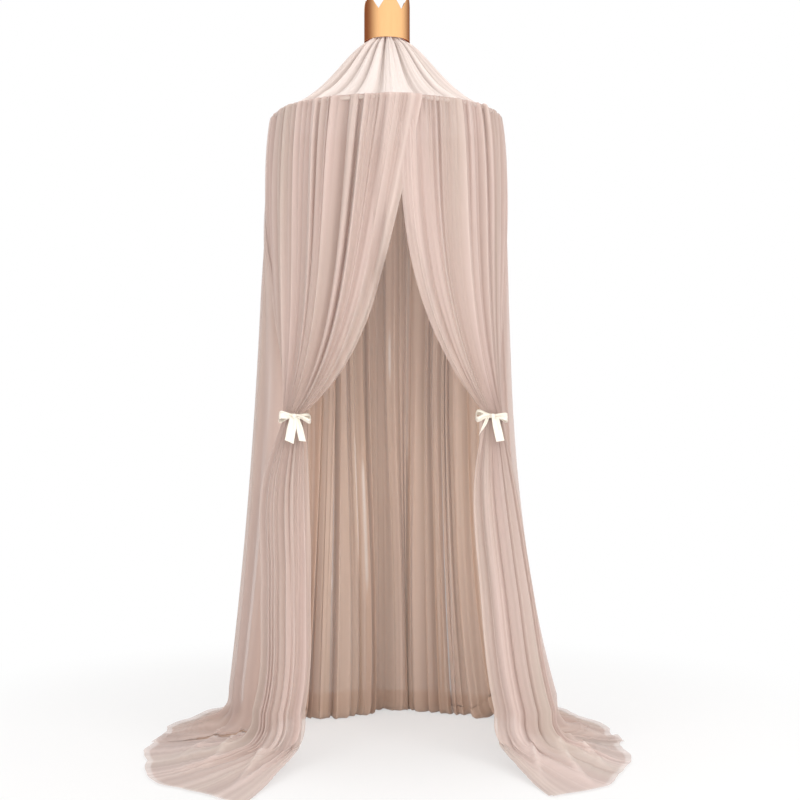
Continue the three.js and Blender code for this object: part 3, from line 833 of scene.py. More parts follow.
@dataclass
class Crown:
    """A strip of gold sheet with six points, bent round and lapped at the back, with a rolled lower edge."""

    wall: float = 0.001
    points: int = 6
    first_tip_angle: float = 9.0
    seam_points: float = 2.5
    band_height: float = 0.076
    tip_width: float = 0.005
    lap_length: float = 0.016
    lap_step: float = 0.0013
    bead_height: float = 0.0022
    bead_depth: float = 0.0009
    lap_start: float = 1.5
    edge_share: float = 0.3
    edge_segments: int = 2
    edge_angle: float = 60.0
    rows: int = 26
    steps_in_flank: int = 16

    def build(self, wardrobe: Wardrobe) -> None:
        """Builds the crown: each column runs from the lower edge to a zigzag of straight flanks."""
        low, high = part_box("crown_band")
        bottom = low.z - FLOOR
        height = high.z - low.z
        radius = (high.x - low.x) / 2 - self.wall / 2
        pitch = 360.0 / self.points
        half_tip = math.degrees(self.tip_width / 2 / radius)
        rise = pitch / 2 - half_tip
        seam = self.first_tip_angle + pitch * self.seam_points
        lap = math.degrees(self.lap_length / radius)
        flank = np.linspace(0.0, rise, self.steps_in_flank + 1)
        point_angles = np.concatenate([flank, pitch - flank[::-1]])[:-1]
        angles = (seam + pitch * np.arange(self.points)[:, None] + point_angles[None, :]).reshape(-1)
        ends = [seam - lap / 2, seam + 360.0, seam + 360.0 + lap / 2]
        angles = np.concatenate([[ends[0]], angles, ends[1:]])
        from_valley = np.mod(angles - seam, pitch)
        from_valley = np.minimum(from_valley, pitch - from_valley)
        top = mix(self.band_height, height, np.minimum(from_valley / rise, 1.0))
        share = np.linspace(0.0, 1.0, self.rows)[::-1, None]
        rise_of = share * top[None, :]
        stepped = self.lap_step * ramp(angles, seam + 360.0 - self.lap_start * lap, lap)
        bead = self.bead_depth * np.exp(-((rise_of - self.bead_height / 2) / (self.bead_height / 2)) ** 2)
        points = around_axis(radius + stepped[None, :] + bead, angles[None, :], bottom + rise_of)
        flat = flat_grid(2 * math.pi * radius, run_lengths(points), len(angles))
        piece = make_piece("crown_sheet", points, flat)
        solid = piece.modifiers.new("wall", "SOLIDIFY")
        solid.thickness = self.wall
        solid.offset = 0.0
        edge = piece.modifiers.new("edge", "BEVEL")
        edge.width = self.wall * self.edge_share
        edge.segments = self.edge_segments
        edge.limit_method = "ANGLE"
        edge.angle_limit = math.radians(self.edge_angle)
        apply_modifiers(piece)
        wardrobe.dress(piece, "gold", CROWN, "crown_band")
        for node in ("crown_rivet_lower", "crown_rivet_upper"):
            wardrobe.dress_node(node, "gold")


@dataclass(frozen=True)
class ConeFolds:
    """Folds of one size on the cone, as deep as a share of their spacing, which changes towards the crown."""

    family: FoldFamily
    far_share: float
    near_share: float
    deepest: float

    def height(self, across: Array) -> Array:
        """The folds' height from -1 to 1, the same all the way down."""
        return self.family.height(across, np.zeros((1, 1)))

    def depth(self, girth: Array, near: Array) -> Array:
        """The folds' depth in metres on rows of a girth, where near is 1 at the crown and falls to 0."""
        room = girth / self.family.count
        return np.minimum(room * mix(self.far_share, self.near_share, near), self.deepest)


@dataclass
class Dome:
    """The gathered cone of pale net, from its bound neck inside the crown down to the hoop."""

    crown_radius: float = 0.0607
    seat_height: float = 1.856
    neck_radius: float = 0.0125
    neck_height: float = 0.052
    sag: float = 0.020
    sag_power: float = 1.6
    columns: int = 1200
    cone_rows: int = 44
    shoulder_rows: int = 14
    shoulder_end: float = 0.95
    shoulder_shares: tuple[float, ...] = (0.0, 0.35, 0.7, 1.0)
    shoulder_radius: float = 0.032
    shoulder_heights: tuple[float, ...] = (0.035, 0.025, 0.0)
    grooves: ConeFolds = ConeFolds(FoldFamily(25, 2.2, 11, wander=0.5), 0.10, 0.45, 0.0085)
    pleats: ConeFolds = ConeFolds(FoldFamily(61, 0.8, 12), 0.06, 0.3, 0.0022)
    gathers: ConeFolds = ConeFolds(FoldFamily(124, 0.0, 13), 0.1, 0.1, 0.0006)
    crown_reach: float = 0.09
    neck_calm: float = 0.02
    low_share: float = 0.45
    low_from: float = 0.19
    low_run: float = 0.04
    rim_gap: float = 0.001
    rim_step: float = 0.006
    rim_reach: float = 0.02
    # How the painted shade of the folds runs: its middle, its strength far from the crown and near it, and
    # the grooves' and pleats' shares of it
    crest_middle: float = 0.62
    crest_far: float = 0.16
    crest_near: float = 0.5
    groove_share: float = 0.8
    pleat_share: float = 0.4

    def profile(self) -> tuple[Array, Array]:
        """The cone's section: from the neck's top out over a shoulder and down to the casing, with a sag.

        The sag is a bell of the share s of the way down: s to its power times 1 - s, brought to a
        height of 1.

        Returns:
            The radius and the height of each row.
        """
        slope = math.atan2(self.seat_height - HOOP_HEIGHT, HOOP_RADIUS - self.crown_radius)
        reach = CASING_RADIUS + self.rim_gap
        rim_radius = HOOP_RADIUS - reach * math.cos(slope)
        rim_height = HOOP_HEIGHT + reach * math.sin(slope)
        share = np.linspace(0.0, 1.0, self.cone_rows)
        lowest = self.sag_power / (1 + self.sag_power)
        bell = share ** self.sag_power * (1 - share) / (lowest ** self.sag_power * (1 - lowest))
        cone_radius = mix(self.crown_radius, rim_radius, share) - self.sag * math.sin(slope) * bell
        cone_height = mix(self.seat_height, rim_height, share) - self.sag * math.cos(slope) * bell
        places = np.linspace(0.0, self.shoulder_end, self.shoulder_rows)
        radii = (self.neck_radius, self.neck_radius, self.shoulder_radius, self.crown_radius)
        radius = smooth_through(places, self.shoulder_shares, radii)
        heights = (self.neck_height, *self.shoulder_heights)
        height = self.seat_height + smooth_through(places, self.shoulder_shares, heights)
        return np.concatenate([radius, cone_radius]), np.concatenate([height, cone_height])

    def build(self, wardrobe: Wardrobe) -> None:
        """Builds the cone with folds that are deep at the crown and pull flat towards the hoop."""
        radius, height = self.profile()
        across = np.linspace(0.0, 1.0, self.columns, endpoint=False)[None, :]
        angle = 360.0 * across
        points = around_axis(radius[:, None], angle, height[:, None])
        down = run_lengths(points)
        from_crown = np.maximum(radius - self.crown_radius, 0.0)[:, None]
        near = np.exp(-from_crown / self.crown_reach)
        girth = 2 * math.pi * radius[:, None]
        grooves = -self.grooves.height(across)
        pleats = self.pleats.height(across)
        folds = grooves * self.grooves.depth(girth, near) + pleats * self.pleats.depth(girth, near)
        folds = folds + self.gathers.height(across) * self.gathers.depth(girth, near)
        folds = folds - self.rim_step * np.exp(-from_crown / self.rim_reach)
        low = ramp(from_crown, self.low_from, self.low_run)
        folds = folds * ramp(down[:, None], 0.0, self.neck_calm) * mix(1.0, self.low_share, low)
        cloth = drape(points, folds, closed=True)
        length = float(down[-1])
        widths = row_lengths(cloth)
        cut = (float(widths.max()), length)
        # Painted shade: the hollows of the grooves and pleats darken, most near the crown
        relief = np.clip(self.groove_share * grooves + self.pleat_share * pleats, -1.0, 1.0)
        crest = self.crest_middle + mix(self.crest_far, self.crest_near, near) * relief
        piece = make_piece("dome_net", cloth, flat_grid(cut[0], down, self.columns + 1), True, crest)
        wardrobe.dress(piece, "pale_net", CANOPY, "dome_cone")


@dataclass
class Casing:
    """The fabric tunnel round the hoop, with its small gathers, open at the back where the rods go in."""

    mouth: float = 0.042
    seam_angle: float = 122.0
    seam_gap: float = 8.0
    sides: int = 17
    steps: int = 720
    gathers: FoldFamily = FoldFamily(110, 0.4, 21)
    gather_depth: float = 0.0007
    crest: float = 0.6
    rods: int = 4

    def build(self, wardrobe: Wardrobe) -> None:
        """Builds the tunnel: a strip folded round the hoop, with both edges in the seam on its top."""
        mouth_angle = math.degrees(self.mouth / HOOP_RADIUS)
        share = np.linspace(0.0, 1.0, self.steps)[:, None]
        angle = mix(180 + mouth_angle / 2, 540 - mouth_angle / 2, share)
        seam = math.radians(self.seam_angle)
        turn = np.linspace(seam, seam - math.radians(360.0 - self.seam_gap), self.sides)[None, :]
        ripple = self.gathers.height(share, 0 * share) * self.gather_depth
        radius = CASING_RADIUS - self.gather_depth + ripple
        points = around_axis(HOOP_RADIUS + radius * np.cos(turn), angle, HOOP_HEIGHT + radius * np.sin(turn))
        length = 2 * math.pi * HOOP_RADIUS - self.mouth
        girth = 2 * math.pi * CASING_RADIUS
        flat = flat_grid(girth, np.linspace(0.0, length, self.steps), self.sides)
        piece = make_piece("casing_tube", points, flat, crest=np.full(1, self.crest))
        wardrobe.dress(piece, "dusty_net", CANOPY, "hoop_casing")
        for number in range(1, self.rods + 1):
            wardrobe.dress_node(f"hoop_rod_{number}", "fibre")
            wardrobe.dress_node(f"hoop_sleeve_{number}", "tube")


@dataclass
class Neck:
    """The webbing strap that holds the ring, and the tape that binds the cone's neck round it."""

    strap_thickness: float = 0.0012
    strap_width: float = 0.010
    strap_columns: int = 7
    ply_share: float = 0.62
    eye_radius: float = 0.0038
    eye_steps: int = 25
    eye_length: float = 0.006
    fall_steps: int = 24
    tape_radius: float = 0.0168
    tape_thickness: float = 0.0016
    tape_width: float = 0.010
    tape_steps: int = 220
    tape_rows: int = 9
    turns: float = 2.6
    start_share: float = 0.5
    end_share: float = 0.62
    bulge: float = 0.0005
    wall_share: float = 0.3

    def build(self, wardrobe: Wardrobe) -> None:
        """Builds the strap and then the binding."""
        self.build_strap(wardrobe)
        self.build_tape(wardrobe)

    def build_strap(self, wardrobe: Wardrobe) -> None:
        """Builds the strap as a ribbon that goes up, over the ring's wire and down again."""
        low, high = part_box("hanging_webbing")
        eye_height = high.z - FLOOR - self.eye_radius - self.strap_thickness / 2
        tail = eye_height - (low.z - FLOOR)
        ply = self.strap_thickness * self.ply_share
        turn = np.linspace(0.0, math.pi, self.eye_steps)
        over_y = -self.eye_radius * np.cos(turn)
        over_z = self.eye_radius * np.sin(turn)
        fall = np.linspace(0.0, 1.0, self.fall_steps)[1:]
        draw = mix(self.eye_radius, ply, ramp(fall * tail, 0.0, self.eye_length))
        y = np.concatenate([-draw[::-1], over_y, draw])
        z = np.concatenate([-fall[::-1] * tail, over_z, -fall * tail])
        middle = np.stack([0 * y, y, eye_height + z], axis=-1)
        side = np.linspace(-0.5, 0.5, self.strap_columns)[None, :, None]
        points = middle[:, None, :] + side * np.array([self.strap_width, 0.0, 0.0])
        flat = flat_grid(self.strap_width, run_lengths(points), self.strap_columns)
        strap = make_piece("webbing_strap", points, flat)
        thicken(strap, self.strap_thickness)
        wardrobe.dress(strap, "tape", CANOPY, "hanging_webbing")

    def build_tape(self, wardrobe: Wardrobe) -> None:
        """Builds the binding as wound turns, each a little further out and higher than the last."""
        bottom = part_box("neck_binding")[0].z - FLOOR
        share = np.linspace(0.0, 1.0, self.tape_steps)
        start = bottom + self.tape_width * self.start_share
        lift = mix(start, bottom + self.tape_width * self.end_share, share)
        path_radius = self.tape_radius + self.tape_thickness * share * 0.5
        angle = 360.0 * self.turns * share
        rows = np.linspace(-0.5, 0.5, self.tape_rows)[:, None]
        radius = path_radius[None, :] + self.bulge * np.cos(np.pi * rows)
        points = around_axis(radius, angle[None, :], lift[None, :] - rows * self.tape_width)
        middle = points[self.tape_rows // 2]
        length = float(np.linalg.norm(np.diff(middle, axis=0), axis=-1).sum())
        flat = flat_grid(length, np.linspace(0.0, self.tape_width, self.tape_rows), self.tape_steps)
        tape = make_piece("neck_tape", points, flat[..., ::-1])
        thicken(tape, self.tape_thickness * self.wall_share)
        wardrobe.dress(tape, "tape", CANOPY, "neck_binding")


class Side(Enum):
    """Which side of the opening a front panel hangs on, with the sign of its X."""

    LEFT = -1
    RIGHT = 1


class Ply(Enum):
    """The two nets of a curtain: the outer one, and the inner one that hangs just inside it."""

    OUTER = "outer"
    INNER = "inner"


@dataclass(frozen=True)
class Crease:
    """A sharp fold of a train, which runs in a line over the floor and stands up a little."""

    start: tuple[float, float]
    end: tuple[float, float]
    width: float = 0.008
    height: float = 0.009
    ends_share: float = 0.5

    def at(self, points: Array) -> Array:
        """A bell across the line, e to the minus square of the distance over the width, with soft ends.

        Args:
            points: places on the cloth.

        Returns:
            The share of the crease's height at each place, from 0 to 1.
        """
        start = np.array(self.start)
        line = np.array(self.end) - start
        offset = points[..., :2] - start
        share = offset @ line / (line @ line)
        across = (offset[..., 0] * line[1] - offset[..., 1] * line[0]) / math.hypot(*line)
        along = ramp(share, 0.0, self.ends_share) * ramp(1.0 - share, 0.0, self.ends_share)
        return along * np.exp(-(across / self.width) ** 2)


# Creases of the left train and then of the right one, from the knee outwards
CREASES = (
    Crease((-0.245, -0.100), (-0.365, -0.470), 0.007, 0.012),
    Crease((-0.330, 0.090), (-0.455, -0.380), 0.009, 0.010),
    Crease((-0.400, 0.040), (-0.530, -0.240), 0.008, 0.008),
    Crease((0.350, -0.080), (0.372, -0.430), 0.007, 0.012),
    Crease((0.395, 0.080), (0.560, 0.010), 0.007, 0.009),
    Crease((0.400, -0.150), (0.500, -0.450), 0.009, 0.009),
    Crease((0.400, -0.040), (0.575, -0.340), 0.009, 0.009),
)


@dataclass(frozen=True)
class Hang:
    """The sizes that all curtains share: heading, fall, inner net, foot, folds, wrinkles and tuck."""

    heading_gap: float = 0.0020
    heading_calm: float = 0.022
    seam_angle: float = 112.0
    seam_gap: float = 0.0012
    heading_rows: int = 10
    billow: float = 0.024
    billow_depth: float = 0.150
    hem_radius: float = 0.618
    hem_lobe: float = 0.011
    hem_lobe_turn: float = 0.4
    front_hem_push: float = 0.042
    front_hem_angle: float = 56.0
    front_hem_spread: float = 20.0
    side_angle: float = 88.0
    back_spread: float = 0.040
    back_power: float = 1.5
    left_spread: float = 0.142
    left_power: float = 1.8
    right_spread: float = 0.180
    right_power: float = 3.1
    ply_gap: float = 0.005
    ply_gap_low: float = 0.042
    ply_heading: float = 0.03
    ply_from: float = 0.05
    ply_run: float = 0.75
    rest_height: float = 0.0015
    ply_step: float = 0.0015
    train_step: float = 0.006
    inner_hem_step: float = 0.015
    settle_reach: float = 0.8
    settle_run: float = 0.2
    foot_height: float = 0.135
    back_foot_share: float = 0.30
    back_foot_from: float = 108.0
    back_foot_run: float = 34.0
    knee_heights: tuple[float, ...] = (0.135, 0.088, 0.058, 0.042)
    knee_steps: tuple[float, ...] = (0.0, 0.005, 0.026, 0.072)
    train_heights: tuple[float, ...] = (0.026, 0.011, 0.002)
    train_shares: tuple[float, ...] = (0.36, 0.70, 1.0)
    knee_place: float = 0.24
    lying_from: float = 0.08
    foot_rows: int = 46
    gathers_in_metre: float = 118.0
    gather_reach: float = 0.22
    tie_reach: float = 0.09
    floor_reach: float = 0.3
    knee_folds: float = 0.45
    knee_spread: float = 0.12
    train_folds: float = 0.75
    train_from: float = 0.2
    train_run: float = 0.3
    hem_folds: float = 0.05
    hem_from: float = 0.32
    hem_run: float = 0.60
    wrinkles: float = 5.0
    wrinkle_sharpness: float = 1.0
    wrinkle_seed_step: int = 60
    wrinkle_wander: float = 0.9
    wrinkle_drift: float = 3.0
    wrinkle_depth: float = 0.003
    wrinkle_from: float = 0.3
    wrinkle_run: float = 0.2
    wrinkle_hem_share: float = 0.2
    # Painted shade that darkens the net towards a tie, and how far it reaches
    tie_shade: float = 0.70
    tie_shade_reach: float = 0.11
    crease_from: float = 0.6
    crease_run: float = 0.4
    # A painted highlight along each crease of a train
    crease_highlight: float = 0.7
    hem_seed_step: int = 41
    hem_wander: float = 0.07
    hem_fade: float = 0.3
    tuck_width: float = 0.20
    tuck_depth: float = 0.090
    tuck_power: float = 1.5
    tuck_from: float = 84.0
    tuck_run: float = 10.0
    tuck_top: float = 0.05
    tuck_fall: float = 0.5

    @property
    def heading_radius(self) -> float:
        """The radius at which the cloth leaves the hoop and hangs."""
        return HOOP_RADIUS + CASING_RADIUS + self.heading_gap

    def heading(self, angle: Array) -> Array:
        """The cloth's roll over the casing, from the seam beside the cone round to the outside.

        Args:
            angle: degrees round the canopy for each column.

        Returns:
            Rows of points, without the last one, where the cloth begins to hang.
        """
        share = np.linspace(0.0, 1.0, self.heading_rows, endpoint=False)[:, None]
        turn = np.radians(mix(self.seam_angle, 0.0, share))
        reach = CASING_RADIUS + mix(self.seam_gap, self.heading_gap, ramp(share, 0.0, 0.5))
        radius = HOOP_RADIUS + reach * np.cos(turn)
        return around_axis(radius, angle, HOOP_HEIGHT + reach * np.sin(turn))

    def puff(self, fall: Array, share: Array) -> Array:
        """How far the cloth stands out below the hoop: it swells with the fall and sinks with the share."""
        return self.billow * (1 - np.exp(-fall / self.billow_depth)) * (1 - share)

    def foot_share(self, angle: Array) -> Array:
        """The foot's height against the front's: it sinks towards the back, where the cloth falls further."""
        sunk = ramp(from_front(angle), self.back_foot_from, self.back_foot_run)
        return mix(1.0, self.back_foot_share, sunk)

    def run_out(self, foot: Array, hem: Array, low: Array | float = 1.0) -> Array:
        """The cloth from its foot to its hem: it bends outwards over a low heap and runs out on the floor.

        Args:
            foot: the points at the foot's height, one row.
            hem: the hem's points, one row.
            low: the heap's height against its usual height, one row.

        Returns:
            Rows of points below the foot's own row.
        """
        outward = hem - foot
        outward[..., 2] = 0.0
        distance = np.linalg.norm(outward, axis=-1, keepdims=True)
        direction = outward / distance
        steps = [foot[0] + direction[0] * step for step in self.knee_steps]
        last = self.knee_steps[-1]
        steps += [foot[0] + direction[0] * mix(last, distance[0], share) for share in self.train_shares]
        steps = np.stack(steps)
        steps[..., 2] = np.array([*self.knee_heights, *self.train_heights])[:, None] * low
        places = run_lengths(steps)
        wanted = np.linspace(0.0, places[-1], self.foot_rows + 1)[1:]
        return smooth_through(wanted, places, steps)

    def lying(self, rows: int) -> Array:
        """How far each row has come to lie, from 0 above the foot to 1 on the floor, in one column."""
        below = np.linspace(0.0, 1.0, self.foot_rows + 1)[1:]
        lying = ramp(below, self.lying_from, self.knee_place)
        return np.concatenate([np.zeros(rows - self.foot_rows), lying])[:, None]

    def fold_depth(self, rows: int) -> Array:
        """The folds' depth against that of the hanging cloth: more at the knee, and less towards the hem."""
        below = np.linspace(0.0, 1.0, self.foot_rows + 1)[1:]
        knee = 1 + self.knee_folds * np.exp(-((below - self.knee_place) / self.knee_spread) ** 2)
        train = mix(1.0, self.train_folds, ramp(below, self.train_from, self.train_run))
        train = train * mix(1.0, self.hem_folds, ramp(below, self.hem_from, self.hem_run))
        return np.concatenate([np.ones(rows - self.foot_rows), knee * train])[:, None]

    def drop_radius(self, angle: Array, share: Array) -> Array:
        """The radius of a side or back curtain at an angle and a share of its fall."""
        right = self.right_spread * share ** self.right_power
        left = self.left_spread * share ** self.left_power
        side = np.where(np.mod(angle, 360.0) < 180.0, right, left)
        spread = mix(self.back_spread * share ** self.back_power, side, np.sin(np.radians(angle)) ** 2)
        past = np.clip((self.tuck_from - from_front(angle)) / self.tuck_run, 0.0, 1.0)
        tucked = self.tuck_depth * past ** self.tuck_power * ramp(share, self.tuck_top, self.tuck_fall)
        return self.heading_radius + self.puff(share * HOOP_HEIGHT, share) + spread - tucked

    def hem(self, angle: Array, across: Array, lobes: float, seed: int, ply: Ply) -> Array:
        """The hem on the floor: a wide circle in soft lobes, pushed out towards the front.

        Args:
            angle: degrees round the canopy for each column.
            across: share of the cloth's width for each column.
            lobes: how many lobes the hem has.
            seed: the seed of their places.
            ply: the outer net, or the inner one whose hem is shorter.

        Returns:
            The hem's points, one row.
        """
        seed = seed + self.hem_seed_step
        waves = FoldFamily(lobes, 0.0, seed, wander=self.hem_wander, fade=self.hem_fade)
        wave = waves.height(across, 0 * across)
        push = np.exp(-((from_front(angle) - self.front_hem_angle) / self.front_hem_spread) ** 2)
        radius = self.hem_radius + self.front_hem_push * push + self.hem_lobe * wave
        if ply is Ply.INNER:
            radius = radius - self.inner_hem_step
        return around_axis(radius, angle + self.hem_lobe_turn * wave, 0.0 * angle)

    def fold_cloth(
        self,
        points: Array,
        across: Array,
        arc: float,
        seed: int,
        ply: Ply,
        gap_low: float,
        depth: Array | float = 1.0,
        tie_down: float | None = None,
    ) -> tuple[Array, tuple[float, float], Array, Array]:
        """Folds a smooth curtain, lays its train on the floor and measures its cut.

        The inner net hangs inside the outer one, close at the heading and further in lower down.

        Args:
            points: the smooth curtain.
            across: share of the cloth's width for each column, one row.
            arc: the length of hoop that the curtain takes.
            seed: the seed of its folds.
            ply: the outer or the inner net.
            gap_low: how far in the inner net hangs low down.
            depth: the folds' depth against their usual depth.
            tie_down: how far down the cloth a tie gathers it, if one does.

        Returns:
            The folded cloth, the cut's width and length, the grid's places on the cut, and the crests.
        """
        rows = points.shape[0]
        down = run_lengths(points)[:, None]
        _, along = slopes_of(points, False)
        width = np.linalg.norm(along, axis=-1) * (points.shape[1] - 1)
        lying = self.lying(rows)
        depth = depth * self.fold_depth(rows) * ramp(down, 0.0, self.heading_calm)
        gathered = np.exp(-down / self.gather_reach)
        if tie_down is not None:
            gathered = np.maximum(gathered, np.exp(-np.abs(down - tie_down) / self.tie_reach))
        gathers = arc * self.gathers_in_metre
        near_floor = ramp(down, down[rows - self.foot_rows] - self.floor_reach, self.floor_reach)
        folds, sway, crest = cloth_folds(
            across, down, width, gathers, seed, ply, depth, gathered, lying, near_floor
        )
        # Painted shade: the net darkens towards the tie
        if tie_down is not None:
            crest = crest - self.tie_shade * np.exp(-np.abs(down - tie_down) / self.tie_shade_reach)
        cloth = drape(points, folds + self.wrinkle(rows, across, seed), sway)
        rest = self.rest_height + self.ply_step
        if ply is Ply.INNER:
            inset = mix(self.ply_gap, gap_low, ramp(down, self.ply_from, self.ply_run))
            inset = inset * (1 - lying ** 2) * ramp(down, 0.0, self.ply_heading)
            cloth = cloth - normals_of(points) * inset[..., None]
            cloth[..., 2] -= self.train_step * lying
            rest = self.rest_height
        settled = ramp(down, down[-1] - self.settle_reach, self.settle_run)
        cloth[..., 2] = mix(cloth[..., 2], settle(cloth[..., 2], rest), settled)
        # Each crease stands up, and gets a painted highlight along it
        for crease in CREASES:
            share = crease.at(cloth) * ramp(lying, self.crease_from, self.crease_run)
            cloth[..., 2] += crease.height * share
            crest = crest + self.crease_highlight * share
        cut = (float(row_lengths(cloth)[self.heading_rows:].mean()), float(down[-1, 0]))
        return cloth, cut, flat_grid(cut[0], down[:, 0], points.shape[1]), crest

    def wrinkle(self, rows: int, across: Array, seed: int) -> Array:
        """The low wrinkles that cross the train's folds, between the knee and the hem.

        Args:
            rows: how many rows the curtain has.
            across: share of the cloth's width for each column, one row.
            seed: the seed of the curtain's folds.

        Returns:
            The wrinkles' heights in metres.
        """
        train = np.linspace(0.0, 1.0, self.foot_rows)
        below = np.concatenate([np.zeros(rows - self.foot_rows), train])[:, None]
        seed = seed + self.wrinkle_seed_step
        waves = FoldFamily(
            self.wrinkles, self.wrinkle_sharpness, seed, wander=self.wrinkle_wander, drift=self.wrinkle_drift,
        )
        rising = ramp(below, self.wrinkle_from, self.wrinkle_run)
        fading = mix(1.0, self.wrinkle_hem_share, below)
        return waves.height(below, across) * self.wrinkle_depth * rising * fading


# The inner net's own small folds, the fold spacing at which the painted fold shade halves, the calm edges,
# and the pinch beside a crest
INNER_SEED_STEP = 7
OWN_FOLDS_FROM = 0.04
OWN_FOLDS_RUN = 0.08
FOLD_SHADE_BLUR = 0.008
EDGE_SHARE = 0.06
PINCH_OFFSET = 0.25


def cloth_folds(
    across: Array,
    down: Array,
    width: Array,
    gathers: float,
    seed: int,
    ply: Ply,
    depth_share: Array | float,
    gathered: Array,
    lying: Array,
    near_floor: Array,
) -> tuple[Array, Array, Array]:
    """Folds of four sizes, each as deep as its own spacing allows, that lean over and lap each other.

    Both nets share the broader folds, and all of them at the heading. Below it each has its own small ones.
    The inner net's small ones die out near the floor.

    Args:
        across: share of the cloth's width.
        down: distance down the cloth in metres.
        width: how wide the cloth lies at each point, in metres for the whole share.
        gathers: how many gathers the heading has.
        seed: the seed of the folds' places.
        ply: the outer or the inner net.
        depth_share: how deep the folds are, against their usual depth.
        gathered: 1 at a seam or tie that gathers the cloth, falling to 0 away from it.
        lying: 0 where the cloth hangs and 1 where it lies on the floor.
        near_floor: 0 high up, rising to 1 where the cloth reaches its foot.

    Returns:
        The folds' heights, their sway along the rows, both in metres, and the crests from 0 to 1.
    """
    height, sway, crest = 0.0, 0.0, 0.0
    inside = ramp(across, 0.0, EDGE_SHARE) * ramp(1.0 - across, 0.0, EDGE_SHARE)
    for order, size in enumerate(FOLD_SIZES):
        count = gathers / size.gathers_each
        own = ply is Ply.INNER and order > 1
        place = seed + order + (INNER_SEED_STEP if own else 0)
        family = size.family(gathers, place, size.sharpness)
        wave = family.height(across, down)
        if own:
            outer_wave = size.family(gathers, seed + order, size.sharpness).height(across, down)
            wave = mix(outer_wave, wave, ramp(down, OWN_FOLDS_FROM, OWN_FOLDS_RUN))
        spacing = width / count
        depth = np.minimum(spacing * mix(size.hanging_share, size.gathered_share, gathered), size.deepest)
        depth = depth * depth_share * mix(1.0, size.train_share, lying) * (1 - near_floor if own else 1.0)
        height = height + wave * depth
        leaning = size.lean_share * family.lean(across, down) * wave
        beside = size.family(gathers, place, 0.0).height(across + PINCH_OFFSET / count, down)
        pinched = size.pinch_share * beside
        sway = sway + (leaning + pinched) * depth * inside
        # Painted fold shade: the crest, low in the hollows, which the net's material darkens
        crest = crest + size.fold_shade_share * wave * spacing / (spacing + FOLD_SHADE_BLUR)
    return height, sway, 0.5 + 0.5 * np.tanh(crest)


@dataclass(frozen=True)
class Puddle:
    """A place where the foot of the cloth stands further in or out: a bell round an angle."""

    angle: float
    push: float
    spread: float

    def at(self, angle: Array) -> Array:
        """The push at each angle, in metres."""
        return self.push * np.exp(-((angle - self.angle) / self.spread) ** 2)


@dataclass(frozen=True)
class Ridge:
    """A thin pleat of the inner net that stands out inwards for a part of its fall, with a painted highlight
    along it.
    """

    angle: float
    top: float
    bottom: float
    width: float = 0.9
    height: float = 0.003
    ends: float = 0.12

    def at(self, angle: Array, level: Array) -> Array:
        """The share of the ridge, from 0 to 1, at each angle and height above the floor."""
        tall = ramp(level, self.bottom, self.ends) * ramp(-level, -self.top, self.ends)
        return tall * np.exp(-((angle - self.angle) / self.width) ** 2)


